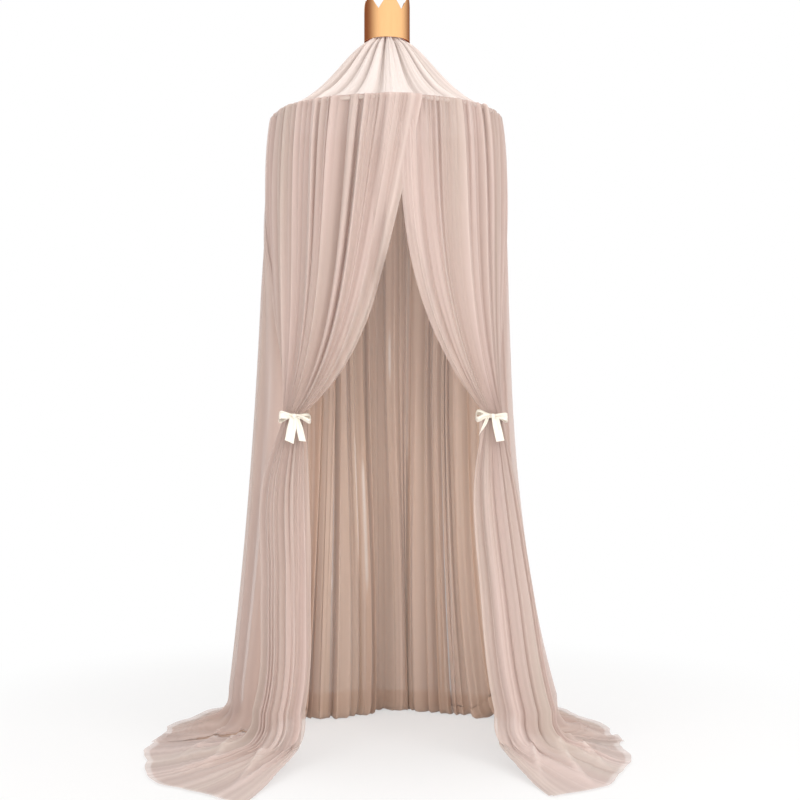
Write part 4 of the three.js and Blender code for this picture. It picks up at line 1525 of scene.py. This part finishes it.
@dataclass
class Drop:
    """A side or back curtain: it rolls over the hoop, swells, falls to the floor and runs out as a train."""

    name: str
    node: str
    start_angle: float
    end_angle: float
    seed: int
    puddles: tuple[Puddle, ...]
    tuck_start: float = 0.0
    tuck_end: float = 0.0
    ridges: tuple[Ridge, ...] = ()
    # How strongly a ridge's height turns into its painted highlight
    ridge_highlight: float = 300.0
    lobes: float = 3.3
    hang: Hang = field(default_factory=Hang)
    columns: int = 420
    fall_rows: int = 86
    fall_power: float = 1.2
    turn_from: float = 0.01
    turn_run: float = 0.3
    puddle_from: float = 0.35
    puddle_run: float = 0.6
    tucked_folds: float = 0.75

    def tuck(self, across: Array) -> Array:
        """How far each column turns towards the front, behind a front panel, in degrees."""
        width = self.hang.tuck_width
        at_end = ramp(across, 1.0 - width, width)
        at_start = ramp(1.0 - across, 1.0 - width, width)
        return self.tuck_end * at_end - self.tuck_start * at_start

    def smooth_cloth(self, across: Array, ply: Ply) -> Array:
        """The curtain without its folds: the heading, the fall in steps that are close at the top, the train.

        Args:
            across: share of the width for each column, one row.
            ply: the outer or the inner net.

        Returns:
            The points.
        """
        hang = self.hang
        angle = mix(self.start_angle, self.end_angle, across)
        heading = hang.heading(angle)
        drop = np.linspace(0.0, 1.0, self.fall_rows)[:, None] ** self.fall_power
        low = hang.foot_share(angle)
        height = mix(HOOP_HEIGHT, hang.foot_height * low, drop)
        share = 1 - height / HOOP_HEIGHT
        push = sum(puddle.at(angle) for puddle in self.puddles)
        push = push * ramp(share, self.puddle_from, self.puddle_run)
        turned = angle + self.tuck(across) * ramp(share, self.turn_from, self.turn_run)
        fall = around_axis(hang.drop_radius(turned, share) + push, turned, height)
        hem = hang.hem(angle, across, self.lobes, self.seed, ply)
        return np.concatenate([heading, fall, hang.run_out(fall[-1:], hem, low)], axis=0)

    def build(self, wardrobe: Wardrobe, ply: Ply) -> bpy.types.Object:
        """Builds one net of the curtain.

        Args:
            wardrobe: the finishes.
            ply: the outer or the inner net.

        Returns:
            The finished piece.
        """
        hang = self.hang
        across = np.linspace(0.0, 1.0, self.columns)[None, :]
        points = self.smooth_cloth(across, ply)
        arc = math.radians(self.end_angle - self.start_angle) * hang.heading_radius
        calm = np.abs(self.tuck(across)) / max(self.tuck_start, self.tuck_end, 1.0)
        cloth, cut, flat, crest = hang.fold_cloth(
            points, across, arc, self.seed, ply, hang.ply_gap_low, mix(1.0, self.tucked_folds, calm)
        )
        if ply is Ply.INNER:
            angle = mix(self.start_angle, self.end_angle, across)
            ridge = sum(ridge.at(angle, points[..., 2]) * ridge.height for ridge in self.ridges)
            cloth = cloth - normals_of(points) * np.broadcast_to(ridge, cloth.shape[:2])[..., None]
            # Seen from inside, the outer net's crests are hollows, so the painted shade is turned over, and
            # each ridge gets a painted highlight
            crest = 1 - crest + self.ridge_highlight * ridge
        piece = make_piece(f"{self.name}_{ply.value}", cloth, flat, crest=crest)
        finish = "dusty_net" if ply is Ply.OUTER else "inner_net_painted_shade"
        replaced = [self.node] if ply is Ply.OUTER else []
        wardrobe.dress(piece, finish, CANOPY, *replaced)
        return piece


@dataclass
class FrontPanel:
    """A front curtain: it leaves the hoop, is drawn to its tie, opens below it and runs out as a train."""

    side: Side
    node: str
    tie_x: float
    half_width: float
    inner_angle: float
    straight_share: float
    sag_power: float
    skirt_centres: tuple[float, ...]
    skirt_widths: tuple[float, ...]
    skirt_forwards: tuple[float, ...]
    hem_angles: tuple[float, float]
    seed: int
    hang: Hang = field(default_factory=Hang)
    tie_y: float = 0.200
    half_depth: float = 0.022
    outer_power: float = 3.0
    tie_height: float = 0.870
    tie_half: float = 0.0103
    bundle_start: float = 95.0
    bundle_end: float = 345.0
    skirt_depths: tuple[float, ...] = (0.0443, 0.0561, 0.0708, 0.0826)
    skirt_heights: tuple[float, ...] = (0.7195, 0.4350, 0.1566, 0.0522)
    overlap_step: float = 0.0105
    overlap_start: float = 0.034
    overlap_run: float = 0.036
    fringe: float = 0.15
    fringe_power: float = 2.6
    lobes: float = 2.6
    columns: int = 420
    swag_rows: int = 62
    tie_rows: int = 5
    skirt_rows: int = 40
    fall_power: float = 1.2
    overlap_top: float = 0.03
    free_from: float = 0.8
    free_run: float = 0.2
    free_fall: float = 0.6
    free_folds: float = 0.35
    back_from: float = 0.55
    back_run: float = 0.3
    back_fall: float = 0.1
    back_folds: float = 0.5

    def section(self, edge: Array, centre: Array, wide: Array, deep: Array,
                forward: Array) -> tuple[Array, Array]:
        """A gathered section in plan: an open ellipse from the back past the front to the free edge.

        Args:
            edge: 0 at the outer edge and 1 at the free edge.
            centre: distance of the ellipse's centre from the middle.
            wide: its half width.
            deep: its half depth.
            forward: how far its centre lies towards the front.

        Returns:
            The plan's x and y.
        """
        turn = np.radians(mix(self.bundle_start, self.bundle_end, edge))
        x = self.side.value * (centre - wide * np.cos(turn))
        y = -forward + deep * np.sin(turn)
        return x, y

    def swag(self, edge: Array, share: Array, top: float) -> Array:
        """The panel between its heading and its tie.

        Each column leaves its place under the hoop and comes to its place in the tie. The outer edge goes
        by a power of the share, and the free edge by a straight line mixed with its own power.

        Args:
            edge: 0 at the outer edge and 1 at the free edge, one row.
            share: how far down from the heading to the tie, one column.
            top: the height of the tie's upper edge.

        Returns:
            The points.
        """
        hang = self.hang
        angle = np.radians(self.side.value * mix(hang.side_angle, self.inner_angle, edge))
        radius = hang.heading_radius + hang.puff(share * (HOOP_HEIGHT - top), share)
        x_tie, y_tie = self.section(edge, self.tie_x, self.half_width, self.half_depth, self.tie_y)
        outer = share ** self.outer_power
        inner = self.straight_share * share + (1 - self.straight_share) * share ** self.sag_power
        weight = mix(outer, inner, edge)
        x = mix(radius * np.sin(angle), x_tie, weight)
        y = mix(-radius * np.cos(angle), y_tie, weight)
        height = np.broadcast_to(mix(HOOP_HEIGHT, top, share), x.shape)
        return np.stack([x, y, height], axis=-1)

    def lap_over(self, points: Array, down: Array) -> Array:
        """Brings the left panel in front of the right one where they cross at the top of the opening."""
        if self.side is Side.RIGHT:
            return points
        x = points[..., 0]
        reach = np.hypot(x, points[..., 1])
        reach = np.maximum(reach, self.hang.heading_radius)
        step = self.overlap_step * ramp(down, 0.0, self.overlap_top)
        front = -np.sqrt(reach ** 2 - np.maximum(x, -self.overlap_start) ** 2) - step
        share = ramp(x, -self.overlap_start, self.overlap_run)
        moved = points.copy()
        moved[..., 1] = mix(points[..., 1], np.minimum(front, points[..., 1]), share)
        return moved

    def skirt(self, edge: Array, height: Array) -> Array:
        """The panel between its tie and its foot: the tie's section opens smoothly through named ones."""
        knots = np.array([*self.skirt_heights[::-1], self.tie_height - self.tie_half])

        def through(values: tuple[float, ...], at_tie: float) -> Array:
            """A section's size as a smooth curve of the height, in one column."""
            return smooth_through(height.reshape(-1), knots, [*values[::-1], at_tie])[:, None]

        x, y = self.section(
            edge,
            through(self.skirt_centres, self.tie_x),
            through(self.skirt_widths, self.half_width),
            through(self.skirt_depths, self.half_depth),
            through(self.skirt_forwards, self.tie_y),
        )
        return np.stack([x, y, np.broadcast_to(height, x.shape)], axis=-1)

    def drawn_back(self, ply: Ply) -> Array:
        """How far the free edge stays behind the outer net's in each row, as a share of the width."""
        share = np.linspace(0.0, 1.0, self.swag_rows)
        above = np.zeros(self.hang.heading_rows)
        below = np.zeros(self.tie_rows + self.skirt_rows + self.hang.foot_rows)
        swag = self.fringe * np.sin(math.pi * share ** self.fringe_power) * (ply is Ply.INNER)
        return np.concatenate([above, swag, below])[:, None]

    def smooth_cloth(self, edge: Array, ply: Ply) -> Array:
        """The panel without its folds.

        The inner net's free edge stays a little behind the outer one's between the heading and the tie.

        Args:
            edge: 0 at the outer edge and 1 at the free edge, one row.
            ply: the outer or the inner net.

        Returns:
            The points.
        """
        hang = self.hang
        top = self.tie_height + self.tie_half
        bottom = self.tie_height - self.tie_half
        angle = self.side.value * mix(hang.side_angle, self.inner_angle, edge)
        heading = hang.heading(angle)
        share = np.linspace(0.0, 1.0, self.swag_rows)[:, None]
        short = self.drawn_back(ply)[hang.heading_rows:hang.heading_rows + self.swag_rows]
        swag = self.swag(edge * (1 - short), share, top)
        tied_height = np.linspace(top, bottom, self.tie_rows + 1)[1:, None]
        x, y = self.section(edge, self.tie_x, self.half_width, self.half_depth, self.tie_y)
        x, y, tied_height = np.broadcast_arrays(x, y, tied_height)
        tied = np.stack([x, y, tied_height], axis=-1)
        fall = np.linspace(0.0, 1.0, self.skirt_rows + 1)[1:, None] ** self.fall_power
        skirt = self.skirt(edge, mix(bottom, hang.foot_height, fall))
        hem = hang.hem(self.side.value * mix(*self.hem_angles, edge), edge, self.lobes, self.seed, ply)
        train = hang.run_out(skirt[-1:], hem)
        points = np.concatenate([heading, swag, tied, skirt, train], axis=0)
        return self.lap_over(points, run_lengths(points)[:, None])

    def build(self, wardrobe: Wardrobe, ply: Ply) -> bpy.types.Object:
        """Builds one net of the panel.

        Args:
            wardrobe: the finishes.
            ply: the outer or the inner net.

        Returns:
            The finished piece.
        """
        hang = self.hang
        across = np.linspace(0.0, 1.0, self.columns)
        edge = (across if self.side is Side.LEFT else across[::-1])[None, :]
        points = self.smooth_cloth(edge, ply)
        down = run_lengths(points)[:, None]
        arc = math.radians(hang.side_angle - self.inner_angle) * hang.heading_radius
        free = ramp(edge, self.free_from, self.free_run) * ramp(1.0 - down, 0.0, self.free_fall)
        tie_down = float(down[hang.heading_rows + self.swag_rows, 0])
        turned_back = ramp(1.0 - edge, self.back_from, self.back_run) * ramp(down, tie_down, self.back_fall)
        depth = mix(1.0, self.free_folds, free) * mix(1.0, self.back_folds, turned_back)
        places = edge * (1 - self.drawn_back(ply))
        cloth, cut, flat, crest = hang.fold_cloth(
            points, places, arc, self.seed, ply, 2 * hang.ply_gap, depth, tie_down
        )
        name = f"panel_{self.side.name.lower()}_{ply.value}"
        piece = make_piece(name, cloth, flat, crest=crest)
        finish = "dusty_net" if ply is Ply.OUTER else "lining_net"
        replaced = [self.node] if ply is Ply.OUTER else []
        wardrobe.dress(piece, finish, CANOPY, *replaced)
        return piece


@dataclass(frozen=True)
class Loop:
    """A loop of a bow: how far it reaches, how far its end rises against that, its turn, and its slack."""

    length: float
    lift: float
    twist: float
    width: float = 0.024
    depth: float = 0.0115


@dataclass(frozen=True)
class Tail:
    """A tail of a bow: its length, its widths at the knot and at its end, its place, its turn and its cut."""

    length: float
    start_width: float
    width: float
    start: float
    lean: float
    twist: float
    slant: float


@dataclass
class Tie:
    """A ribbon tie: a band round the gathered panel, and a bow of two loops, a knot and two tails."""

    side: Side
    tails: tuple[Tail, ...]
    loops: tuple[Loop, ...]
    thickness: float = 0.0006
    least_width: float = 0.0101
    least_area_share: float = 0.31
    steps: int = 60
    columns: int = 15
    band_width: float = 0.011
    band_steps: int = 120
    band_columns: int = 13
    band_crease: float = 0.0006
    band_wave: float = 0.0012
    knot_size: tuple[float, float, float] = (0.0105, 0.0095, 0.0125)
    knot_rows: int = 33
    knot_columns: int = 64
    knot_creases: int = 9
    knot_crease_turn: float = 1.0
    knot_crease_share: float = 0.06
    knot_square_power: float = 0.8
    knot_end_power: float = 0.7
    loop_start_share: float = 0.8
    loop_end_power: float = 0.8
    loop_least_depth: float = 0.35
    loop_gap: float = 0.0006
    loop_start_width: float = 0.008
    loop_width_power: float = 0.9
    loop_fan: float = 0.0026
    loop_fan_creases: float = 2.5
    loop_fan_turn: float = 0.8
    loop_fan_power: float = 0.6
    loop_crease: float = 0.0013
    loop_creases: float = 1.5
    loop_crease_slide: float = 2.5
    loop_droop: float = 6.0
    tail_top_share: float = 0.32
    tail_forward_share: float = 0.3
    tail_widening: float = 0.5
    tail_lean_power: float = 1.2
    tail_crease: float = 0.0026
    tail_creases: float = 1.5
    tail_curl: float = 0.0024
    tail_curls: float = 2.3
    tail_curl_slant: float = 0.9

    def node(self, part: str) -> str:
        """The CAD node's name of one of the tie's parts."""
        return f"tie_{self.side.name.lower()}_{part}"

    def piece(self, part: str) -> str:
        """The name of the piece that stands for one of the tie's parts."""
        return f"ribbon_{self.side.name.lower()}_{part}"

    def build(self, wardrobe: Wardrobe) -> None:
        """Builds the band, the knot, the loops and the tails where the frame has them."""
        low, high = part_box(self.node("knot"))
        centre = (low + high) / 2
        knot_centre = np.array([centre.x, centre.y, centre.z - FLOOR])
        self.build_band(wardrobe)
        self.build_knot(wardrobe, knot_centre)
        outwards = self.side.value
        places = (("outer", outwards), ("inner", -outwards))
        for (place, direction), loop in zip(places, self.loops):
            self.build_loop(wardrobe, knot_centre, place, direction, loop)
        for (place, direction), tail in zip(places, self.tails):
            self.build_tail(wardrobe, knot_centre, place, direction, tail)

    def finish_ribbon(self, wardrobe: Wardrobe, part: str, points: Array) -> None:
        """Makes a ribbon of its rows, thickens it, dresses it, and takes its cut for its UV map."""
        lengths = run_lengths(points)
        widths = row_lengths(points)
        cut = (max(float(widths.max()), self.least_width), float(lengths[-1]))
        flat = flat_grid(cut[0], lengths, points.shape[1])
        piece = make_piece(self.piece(part), points, flat)
        thicken(piece, self.thickness)
        wardrobe.dress(piece, "satin", CANOPY, self.node(part))

    def build_band(self, wardrobe: Wardrobe) -> None:
        """Builds the band as an oval ring with two creases along it."""
        low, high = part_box(self.node("band"))
        centre = (low + high) / 2
        wide = (high.x - low.x) / 2
        deep = (high.y - low.y) / 2
        turn = np.linspace(0.0, 2 * math.pi, self.band_steps)[:, None]
        side = np.linspace(0.5, -0.5, self.band_columns)[None, :]
        crease = self.band_crease * np.cos(4 * math.pi * side)
        x = centre.x + (wide + crease) * np.cos(turn)
        y = centre.y + (deep + crease) * np.sin(turn)
        z = centre.z - FLOOR + side * self.band_width + self.band_wave * np.sin(2 * turn)
        points = np.stack([x, y, z], axis=-1)
        self.finish_ribbon(wardrobe, "band", points)

    def build_knot(self, wardrobe: Wardrobe, centre: Array) -> None:
        """Builds the knot: a rounded block with creases that run up and down over it."""
        rise = np.linspace(math.pi / 2, -math.pi / 2, self.knot_rows)[:, None]
        turn = np.linspace(0.0, 2 * math.pi, self.knot_columns, endpoint=False)[None, :]
        width, depth, height = self.knot_size
        creases = np.cos(self.knot_creases * turn + self.knot_crease_turn)
        crease = 1 + self.knot_crease_share * creases * np.cos(rise)
        squared_cos = np.sign(np.cos(turn)) * np.abs(np.cos(turn)) ** self.knot_square_power
        squared_sin = np.sign(np.sin(turn)) * np.abs(np.sin(turn)) ** self.knot_square_power
        x = width / 2 * np.cos(rise) ** self.knot_end_power * squared_cos * crease
        y = depth / 2 * np.cos(rise) ** self.knot_end_power * squared_sin * crease
        z = height / 2 * np.sin(rise) * np.ones_like(turn)
        points = np.stack([x, y, z], axis=-1) + centre
        lengths = run_lengths(points)
        girth = math.pi * (width + depth) / 2
        flat = flat_grid(girth, lengths, self.knot_columns + 1)
        piece = make_piece(self.piece("knot"), points, flat, closed=True)
        weld(piece)
        wardrobe.dress(piece, "satin", CANOPY, self.node("knot"))

    def build_loop(
        self, wardrobe: Wardrobe, centre: Array, place: str, direction: int, loop: Loop,
    ) -> None:
        """Builds a loop: it leaves the knot pinched, opens, turns at its end and comes back behind itself.

        Args:
            wardrobe: the finishes.
            centre: the knot's centre.
            place: outer or inner.
            direction: the sign of X that it points to.
            loop: its sizes.
        """
        share = np.linspace(0.0, 1.0, self.steps)[:, None]
        side = np.linspace(0.5, -0.5, self.columns)[None, :]
        start = self.knot_size[0] / 2 * self.loop_start_share
        reach = np.sin(math.pi * share) ** self.loop_end_power
        x = start + (loop.length - start) * reach
        opened = mix(self.loop_least_depth, 1.0, reach)
        y = -loop.depth * np.sin(2 * math.pi * share) * opened
        y = y - self.loop_gap * np.cos(math.pi * share)
        width = mix(self.loop_start_width, loop.width, reach ** self.loop_width_power)
        fan = np.cos(self.loop_fan_creases * 2 * math.pi * side + self.loop_fan_turn)
        fan = fan * (1 - reach) ** self.loop_fan_power
        creases = np.cos(self.loop_creases * 2 * math.pi * side + self.loop_crease_slide * reach)
        crease = self.loop_fan * fan + self.loop_crease * creases
        across = side * width
        turned = np.radians(loop.twist) * reach
        y_turned = (y + crease) * np.cos(turned) - across * np.sin(turned)
        z_turned = (y + crease) * np.sin(turned) + across * np.cos(turned)
        z = z_turned + loop.lift * (x - start) - self.loop_droop * (x - start) ** 2
        x, y_turned, z = np.broadcast_arrays(direction * x, y_turned, z)
        points = np.stack([x, y_turned, z], axis=-1) + centre
        self.finish_ribbon(wardrobe, f"loop_{place}", points)

    def build_tail(
        self, wardrobe: Wardrobe, centre: Array, place: str, direction: int, tail: Tail,
    ) -> None:
        """Builds a tail: it falls from under the knot, widens, leans out and ends in its cut.

        Args:
            wardrobe: the finishes.
            centre: the knot's centre.
            place: outer or inner.
            direction: the sign of X that it leans to.
            tail: its sizes.
        """
        share = np.linspace(0.0, 1.0, self.steps)[:, None]
        side = np.linspace(0.5, -0.5, self.columns)[None, :]
        fall = share * tail.length * (1 + tail.slant * side * direction * share)
        wide = mix(tail.start_width, tail.width, ramp(share, 0.0, self.tail_widening))
        middle = direction * (tail.start + tail.lean * share ** self.tail_lean_power)
        turned = np.radians(tail.twist) * share
        curl = np.sin(math.pi * (self.tail_curls * share + self.tail_curl_slant * side * direction))
        creases = np.cos(self.tail_creases * 2 * math.pi * side)
        crease = self.tail_crease * creases * (1 - share) + self.tail_curl * curl * share
        x = middle + side * wide * np.cos(turned)
        y = -self.tail_forward_share * fall + side * wide * np.sin(turned) + crease
        z = -self.knot_size[2] * self.tail_top_share - fall
        x, y, z = np.broadcast_arrays(x, y, z)
        points = np.stack([x, y, z], axis=-1) + centre
        self.finish_ribbon(wardrobe, f"tail_{place}", points)


# Stage

@dataclass(frozen=True)
class Lamp:
    """A soft lamp: its place and its aim, with heights above the floor, its size, and its power in watts."""

    name: str
    place: tuple[float, float, float]
    aim: tuple[float, float, float]
    size: tuple[float, float]
    power: float

    def hang(self) -> None:
        """Hangs the lamp, so that no camera and no reflection sees it."""
        data = bpy.data.lights.new(self.name, "AREA")
        data.shape = "ELLIPSE"
        data.size, data.size_y = self.size
        data.energy = self.power
        lamp = bpy.data.objects.new(self.name, data)
        lamp.location = (self.place[0], self.place[1], FLOOR + self.place[2])
        lamp.rotation_euler = (Vector(self.aim) - Vector(self.place)).to_track_quat("-Z", "Y").to_euler()
        lamp.visible_glossy = False
        lamp.visible_camera = False
        bpy.context.scene.collection.objects.link(lamp)


# The last one is tall and narrow, faces the back, and stands for the light that real net scatters inwards
LAMPS = (
    Lamp("key", (3.0, -3.2, 2.4), (0.0, 0.0, 0.9), (2.4, 2.4), 72.0),
    Lamp("fill", (-2.4, -3.6, 1.9), (0.0, 0.0, 0.9), (2.2, 2.2), 46.0),
    Lamp("upper", (0.5, -2.4, 2.5), (0.05, -0.3, 1.45), (1.2, 1.2), 10.5),
    Lamp("top", (0.0, 0.4, 4.2), (0.0, 0.0, 0.9), (2.4, 2.4), 36.0),
    Lamp("inside", (0.0, -0.10, 0.84), (0.0, 0.4, 0.84), (0.10, 1.34), 0.45),
)


@dataclass
class Stage:
    """A white studio: a floor that keeps a soft shadow, soft lamps, and the camera at the photo's angle."""

    camera_distance: float = 3.50
    camera_height: float = 0.91
    camera_side: float = 0.0346
    focal_share: float = 1314 / 800
    sensor: float = 36.0
    floor_radius: float = 9.0
    shadow_radius: float = 0.75
    shadow_fade: float = 0.9
    near_white: float = 0.55
    floor_colour: str = "F7F6F5"
    floor_roughness: float = 0.9
    floor_gloss: float = 0.1
    sky: float = 0.66
    dark_room: str = "8C6450"
    bright_room: tuple[float, float, float, float] = (1.28, 1.28, 1.14, 1.0)
    room_from: float = -0.9
    bright_side: tuple[float, float, float] = (0.316, -0.944, 0.1)

    def build(self) -> None:
        """Builds the camera, the floor, the world and the lamps."""
        self.build_camera()
        self.build_floor()
        self.build_world()
        self.build_lamps()

    def build_camera(self) -> None:
        """Sets the camera level and facing the canopy, at the height and distance that fit the photo."""
        data = bpy.data.cameras.new("camera")
        data.sensor_width = self.sensor
        data.lens = self.sensor * self.focal_share
        camera = bpy.data.objects.new("camera", data)
        camera.location = (self.camera_side, -self.camera_distance, FLOOR + self.camera_height)
        camera.rotation_euler = (math.radians(90), 0.0, 0.0)
        bpy.context.scene.collection.objects.link(camera)
        bpy.context.scene.camera = camera

    def build_floor(self) -> None:
        """Builds the floor as a plane that shades near the canopy and is plain white further out."""
        side = np.array([-self.floor_radius, self.floor_radius])
        x, y = np.meshgrid(side, side)
        points = np.stack([x, y, 0 * x], axis=-1)[::-1]
        floor = make_piece("studio_floor", points, flat_grid(1.0, side, 2))
        material = bpy.data.materials.new("studio_floor_white")
        material.use_nodes = True
        tree = material.node_tree
        shader = tree.nodes["Principled BSDF"]
        shader.inputs["Base Color"].default_value = linear(self.floor_colour)
        shader.inputs["Roughness"].default_value = self.floor_roughness
        shader.inputs["Specular IOR Level"].default_value = self.floor_gloss
        white = add_node(tree, "ShaderNodeEmission", values={"Color": (1, 1, 1, 1), "Strength": 1.0})
        place = add_node(tree, "ShaderNodeTexCoord")
        length = add_node(
            tree, "ShaderNodeVectorMath", operation="LENGTH", links={0: place.outputs["Object"]},
        )
        far = add_node(
            tree, "ShaderNodeMapRange", interpolation_type="SMOOTHSTEP",
            values={
                "From Min": math.hypot(self.shadow_radius, FLOOR),
                "From Max": math.hypot(self.shadow_radius + self.shadow_fade, FLOOR),
                "To Min": self.near_white,
                "To Max": 1.0,
            },
            links={"Value": length.outputs["Value"]},
        )
        ray = add_node(tree, "ShaderNodeLightPath")
        seen = add_node(
            tree, "ShaderNodeMath", operation="MAXIMUM",
            links={0: ray.outputs["Is Camera Ray"], 1: ray.outputs["Is Glossy Ray"]},
        )
        seen_too = add_node(
            tree, "ShaderNodeMath", operation="MAXIMUM",
            links={0: seen.outputs[0], 1: ray.outputs["Is Transmission Ray"]},
        )
        share = add_node(
            tree, "ShaderNodeMath", operation="MULTIPLY",
            links={0: far.outputs[0], 1: seen_too.outputs[0]},
        )
        blend = add_node(
            tree, "ShaderNodeMixShader",
            links={0: share.outputs[0], 1: shader.outputs[0], 2: white.outputs[0]},
        )
        tree.links.new(blend.outputs[0], tree.nodes["Material Output"].inputs["Surface"])
        floor.data.materials.append(material)

    def build_world(self) -> None:
        """Makes the world white to the eye, a soft grey as a light, and a lit room in reflections.

        In a reflection the room is white towards the front and a little to the right, and falls off to a
        warm dark behind, so that bright metal shows its roundness.
        """
        world = bpy.data.worlds.new("studio_world")
        world.use_nodes = True
        tree = world.node_tree
        background = tree.nodes["Background"]
        place = add_node(tree, "ShaderNodeTexCoord")
        facing = add_node(
            tree, "ShaderNodeVectorMath", operation="DOT_PRODUCT",
            values={1: self.bright_side},
            links={0: place.outputs["Generated"]},
        )
        room_share = add_node(
            tree, "ShaderNodeMapRange",
            values={"From Min": self.room_from, "From Max": 1.0},
            links={"Value": facing.outputs["Value"]},
            interpolation_type="SMOOTHERSTEP",
        )
        room = add_node(
            tree, "ShaderNodeMix", data_type="RGBA",
            values={MIX_FIRST: linear(self.dark_room), MIX_SECOND: self.bright_room},
            links={MIX_SHARE: room_share.outputs[0]},
        )
        ray = add_node(tree, "ShaderNodeLightPath")
        reflected = add_node(
            tree, "ShaderNodeMix", data_type="RGBA",
            values={MIX_FIRST: (self.sky, self.sky, self.sky, 1.0)},
            links={MIX_SHARE: ray.outputs["Is Glossy Ray"], MIX_SECOND: room.outputs[MIX_OUT]},
        )
        seen = add_node(
            tree, "ShaderNodeMath", operation="MAXIMUM",
            links={0: ray.outputs["Is Camera Ray"], 1: ray.outputs["Is Transmission Ray"]},
        )
        colour = add_node(
            tree, "ShaderNodeMix", data_type="RGBA",
            values={MIX_SECOND: (1.0, 1.0, 1.0, 1.0)},
            links={MIX_SHARE: seen.outputs[0], MIX_FIRST: reflected.outputs[MIX_OUT]},
        )
        tree.links.new(colour.outputs[MIX_OUT], background.inputs["Color"])
        background.inputs["Strength"].default_value = 1.0
        bpy.context.scene.world = world

    def build_lamps(self) -> None:
        """Hangs the soft lamps, and has the colours shown without a film curve."""
        for lamp in LAMPS:
            lamp.hang()
        bpy.context.scene.view_settings.view_transform = "Standard"


def make_curtains() -> list[Drop | FrontPanel]:
    """The five curtains: three from the right side round the back to the left, and the two front panels."""
    hang = Hang()
    puddles = (
        Puddle(angle=122.0, push=-0.020, spread=14.0),
        Puddle(angle=172.0, push=0.040, spread=10.0),
        Puddle(angle=206.0, push=-0.055, spread=13.0),
        Puddle(angle=236.0, push=-0.030, spread=12.0),
    )
    ridges = (
        Ridge(angle=168.5, top=1.42, bottom=0.66),
        Ridge(angle=178.6, top=1.17, bottom=0.90),
        Ridge(angle=199.8, top=0.88, bottom=0.38),
        Ridge(angle=196.6, top=0.80, bottom=0.30),
    )
    third = (360.0 - 2 * hang.side_angle) / 3
    gap = 0.06
    drops = [
        Drop(
            name, node,
            hang.side_angle + index * third + gap,
            hang.side_angle + (index + 1) * third - gap,
            seed,
            puddles,
            tuck_start,
            tuck_end,
            ridges,
        )
        for index, (name, node, seed, tuck_start, tuck_end) in enumerate((
            ("drop_right", "curtain_right_side", 101, 14.0, 0.0),
            ("drop_back", "curtain_back", 201, 0.0, 0.0),
            ("drop_left", "curtain_left_side", 301, 0.0, 14.0),
        ))
    ]
    left = FrontPanel(
        Side.LEFT, "curtain_front_left",
        tie_x=0.2285, half_width=0.029, inner_angle=-17.0, straight_share=0.6, sag_power=6.0,
        skirt_centres=(0.2484, 0.2496, 0.2626, 0.2906),
        skirt_widths=(0.0561, 0.0620, 0.0634, 0.0693),
        skirt_forwards=(0.1947, 0.1888, 0.1844, 0.1800),
        hem_angles=(96.0, 30.5), seed=401,
    )
    right = FrontPanel(
        Side.RIGHT, "curtain_front_right",
        tie_x=0.266, half_width=0.025, inner_angle=6.0, straight_share=0.0, sag_power=3.0,
        skirt_centres=(0.2699, 0.3009, 0.3422, 0.3717),
        skirt_widths=(0.0502, 0.0664, 0.0752, 0.0782),
        skirt_forwards=(0.1947, 0.1888, 0.1770, 0.1711),
        hem_angles=(95.0, 38.0), seed=501,
    )
    return [*drops, left, right]


def make_ties() -> list[Tie]:
    """The two ties, each with its outer loop and tail before its inner ones."""
    left = Tie(
        Side.LEFT,
        tails=(
            Tail(
                length=0.060, start_width=0.018, width=0.0225,
                start=0.003, lean=0.008, twist=8.0, slant=-0.16,
            ),
            Tail(
                length=0.058, start_width=0.008, width=0.0175,
                start=0.009, lean=0.013, twist=-14.0, slant=0.03,
            ),
        ),
        loops=(
            Loop(length=0.038, lift=0.10, twist=-40.0, width=0.026),
            Loop(length=0.041, lift=-0.02, twist=52.0, width=0.018, depth=0.009),
        ),
    )
    right = Tie(
        Side.RIGHT,
        tails=(
            Tail(
                length=0.058, start_width=0.019, width=0.0205,
                start=0.006, lean=0.011, twist=-6.0, slant=-0.05,
            ),
            Tail(
                length=0.040, start_width=0.008, width=0.011,
                start=0.014, lean=0.020, twist=66.0, slant=0.17,
            ),
        ),
        loops=(
            Loop(length=0.036, lift=0.02, twist=-18.0, width=0.022),
            Loop(length=0.043, lift=0.22, twist=58.0, width=0.022, depth=0.013),
        ),
    )
    return [left, right]


def main() -> None:
    """Builds the canopy from its ring down to its hems, and then the studio round it."""
    logging.basicConfig(level=logging.INFO, format="%(name)s: %(message)s")
    wardrobe = Wardrobe()
    parts = [HangingRing(), Crown(), Casing(), Dome(), Neck()]
    for part in parts:
        part.build(wardrobe)
        LOG.info("built %s", type(part).__name__)
    for curtain in make_curtains():
        for ply in Ply:
            piece = curtain.build(wardrobe, ply)
            LOG.info("built %s with %d faces", piece.name, len(piece.data.polygons))
    for tie in make_ties():
        tie.build(wardrobe)
        LOG.info("built the %s tie", tie.side.name.lower())
    Stage().build()


if __name__ == "__main__":
    main()
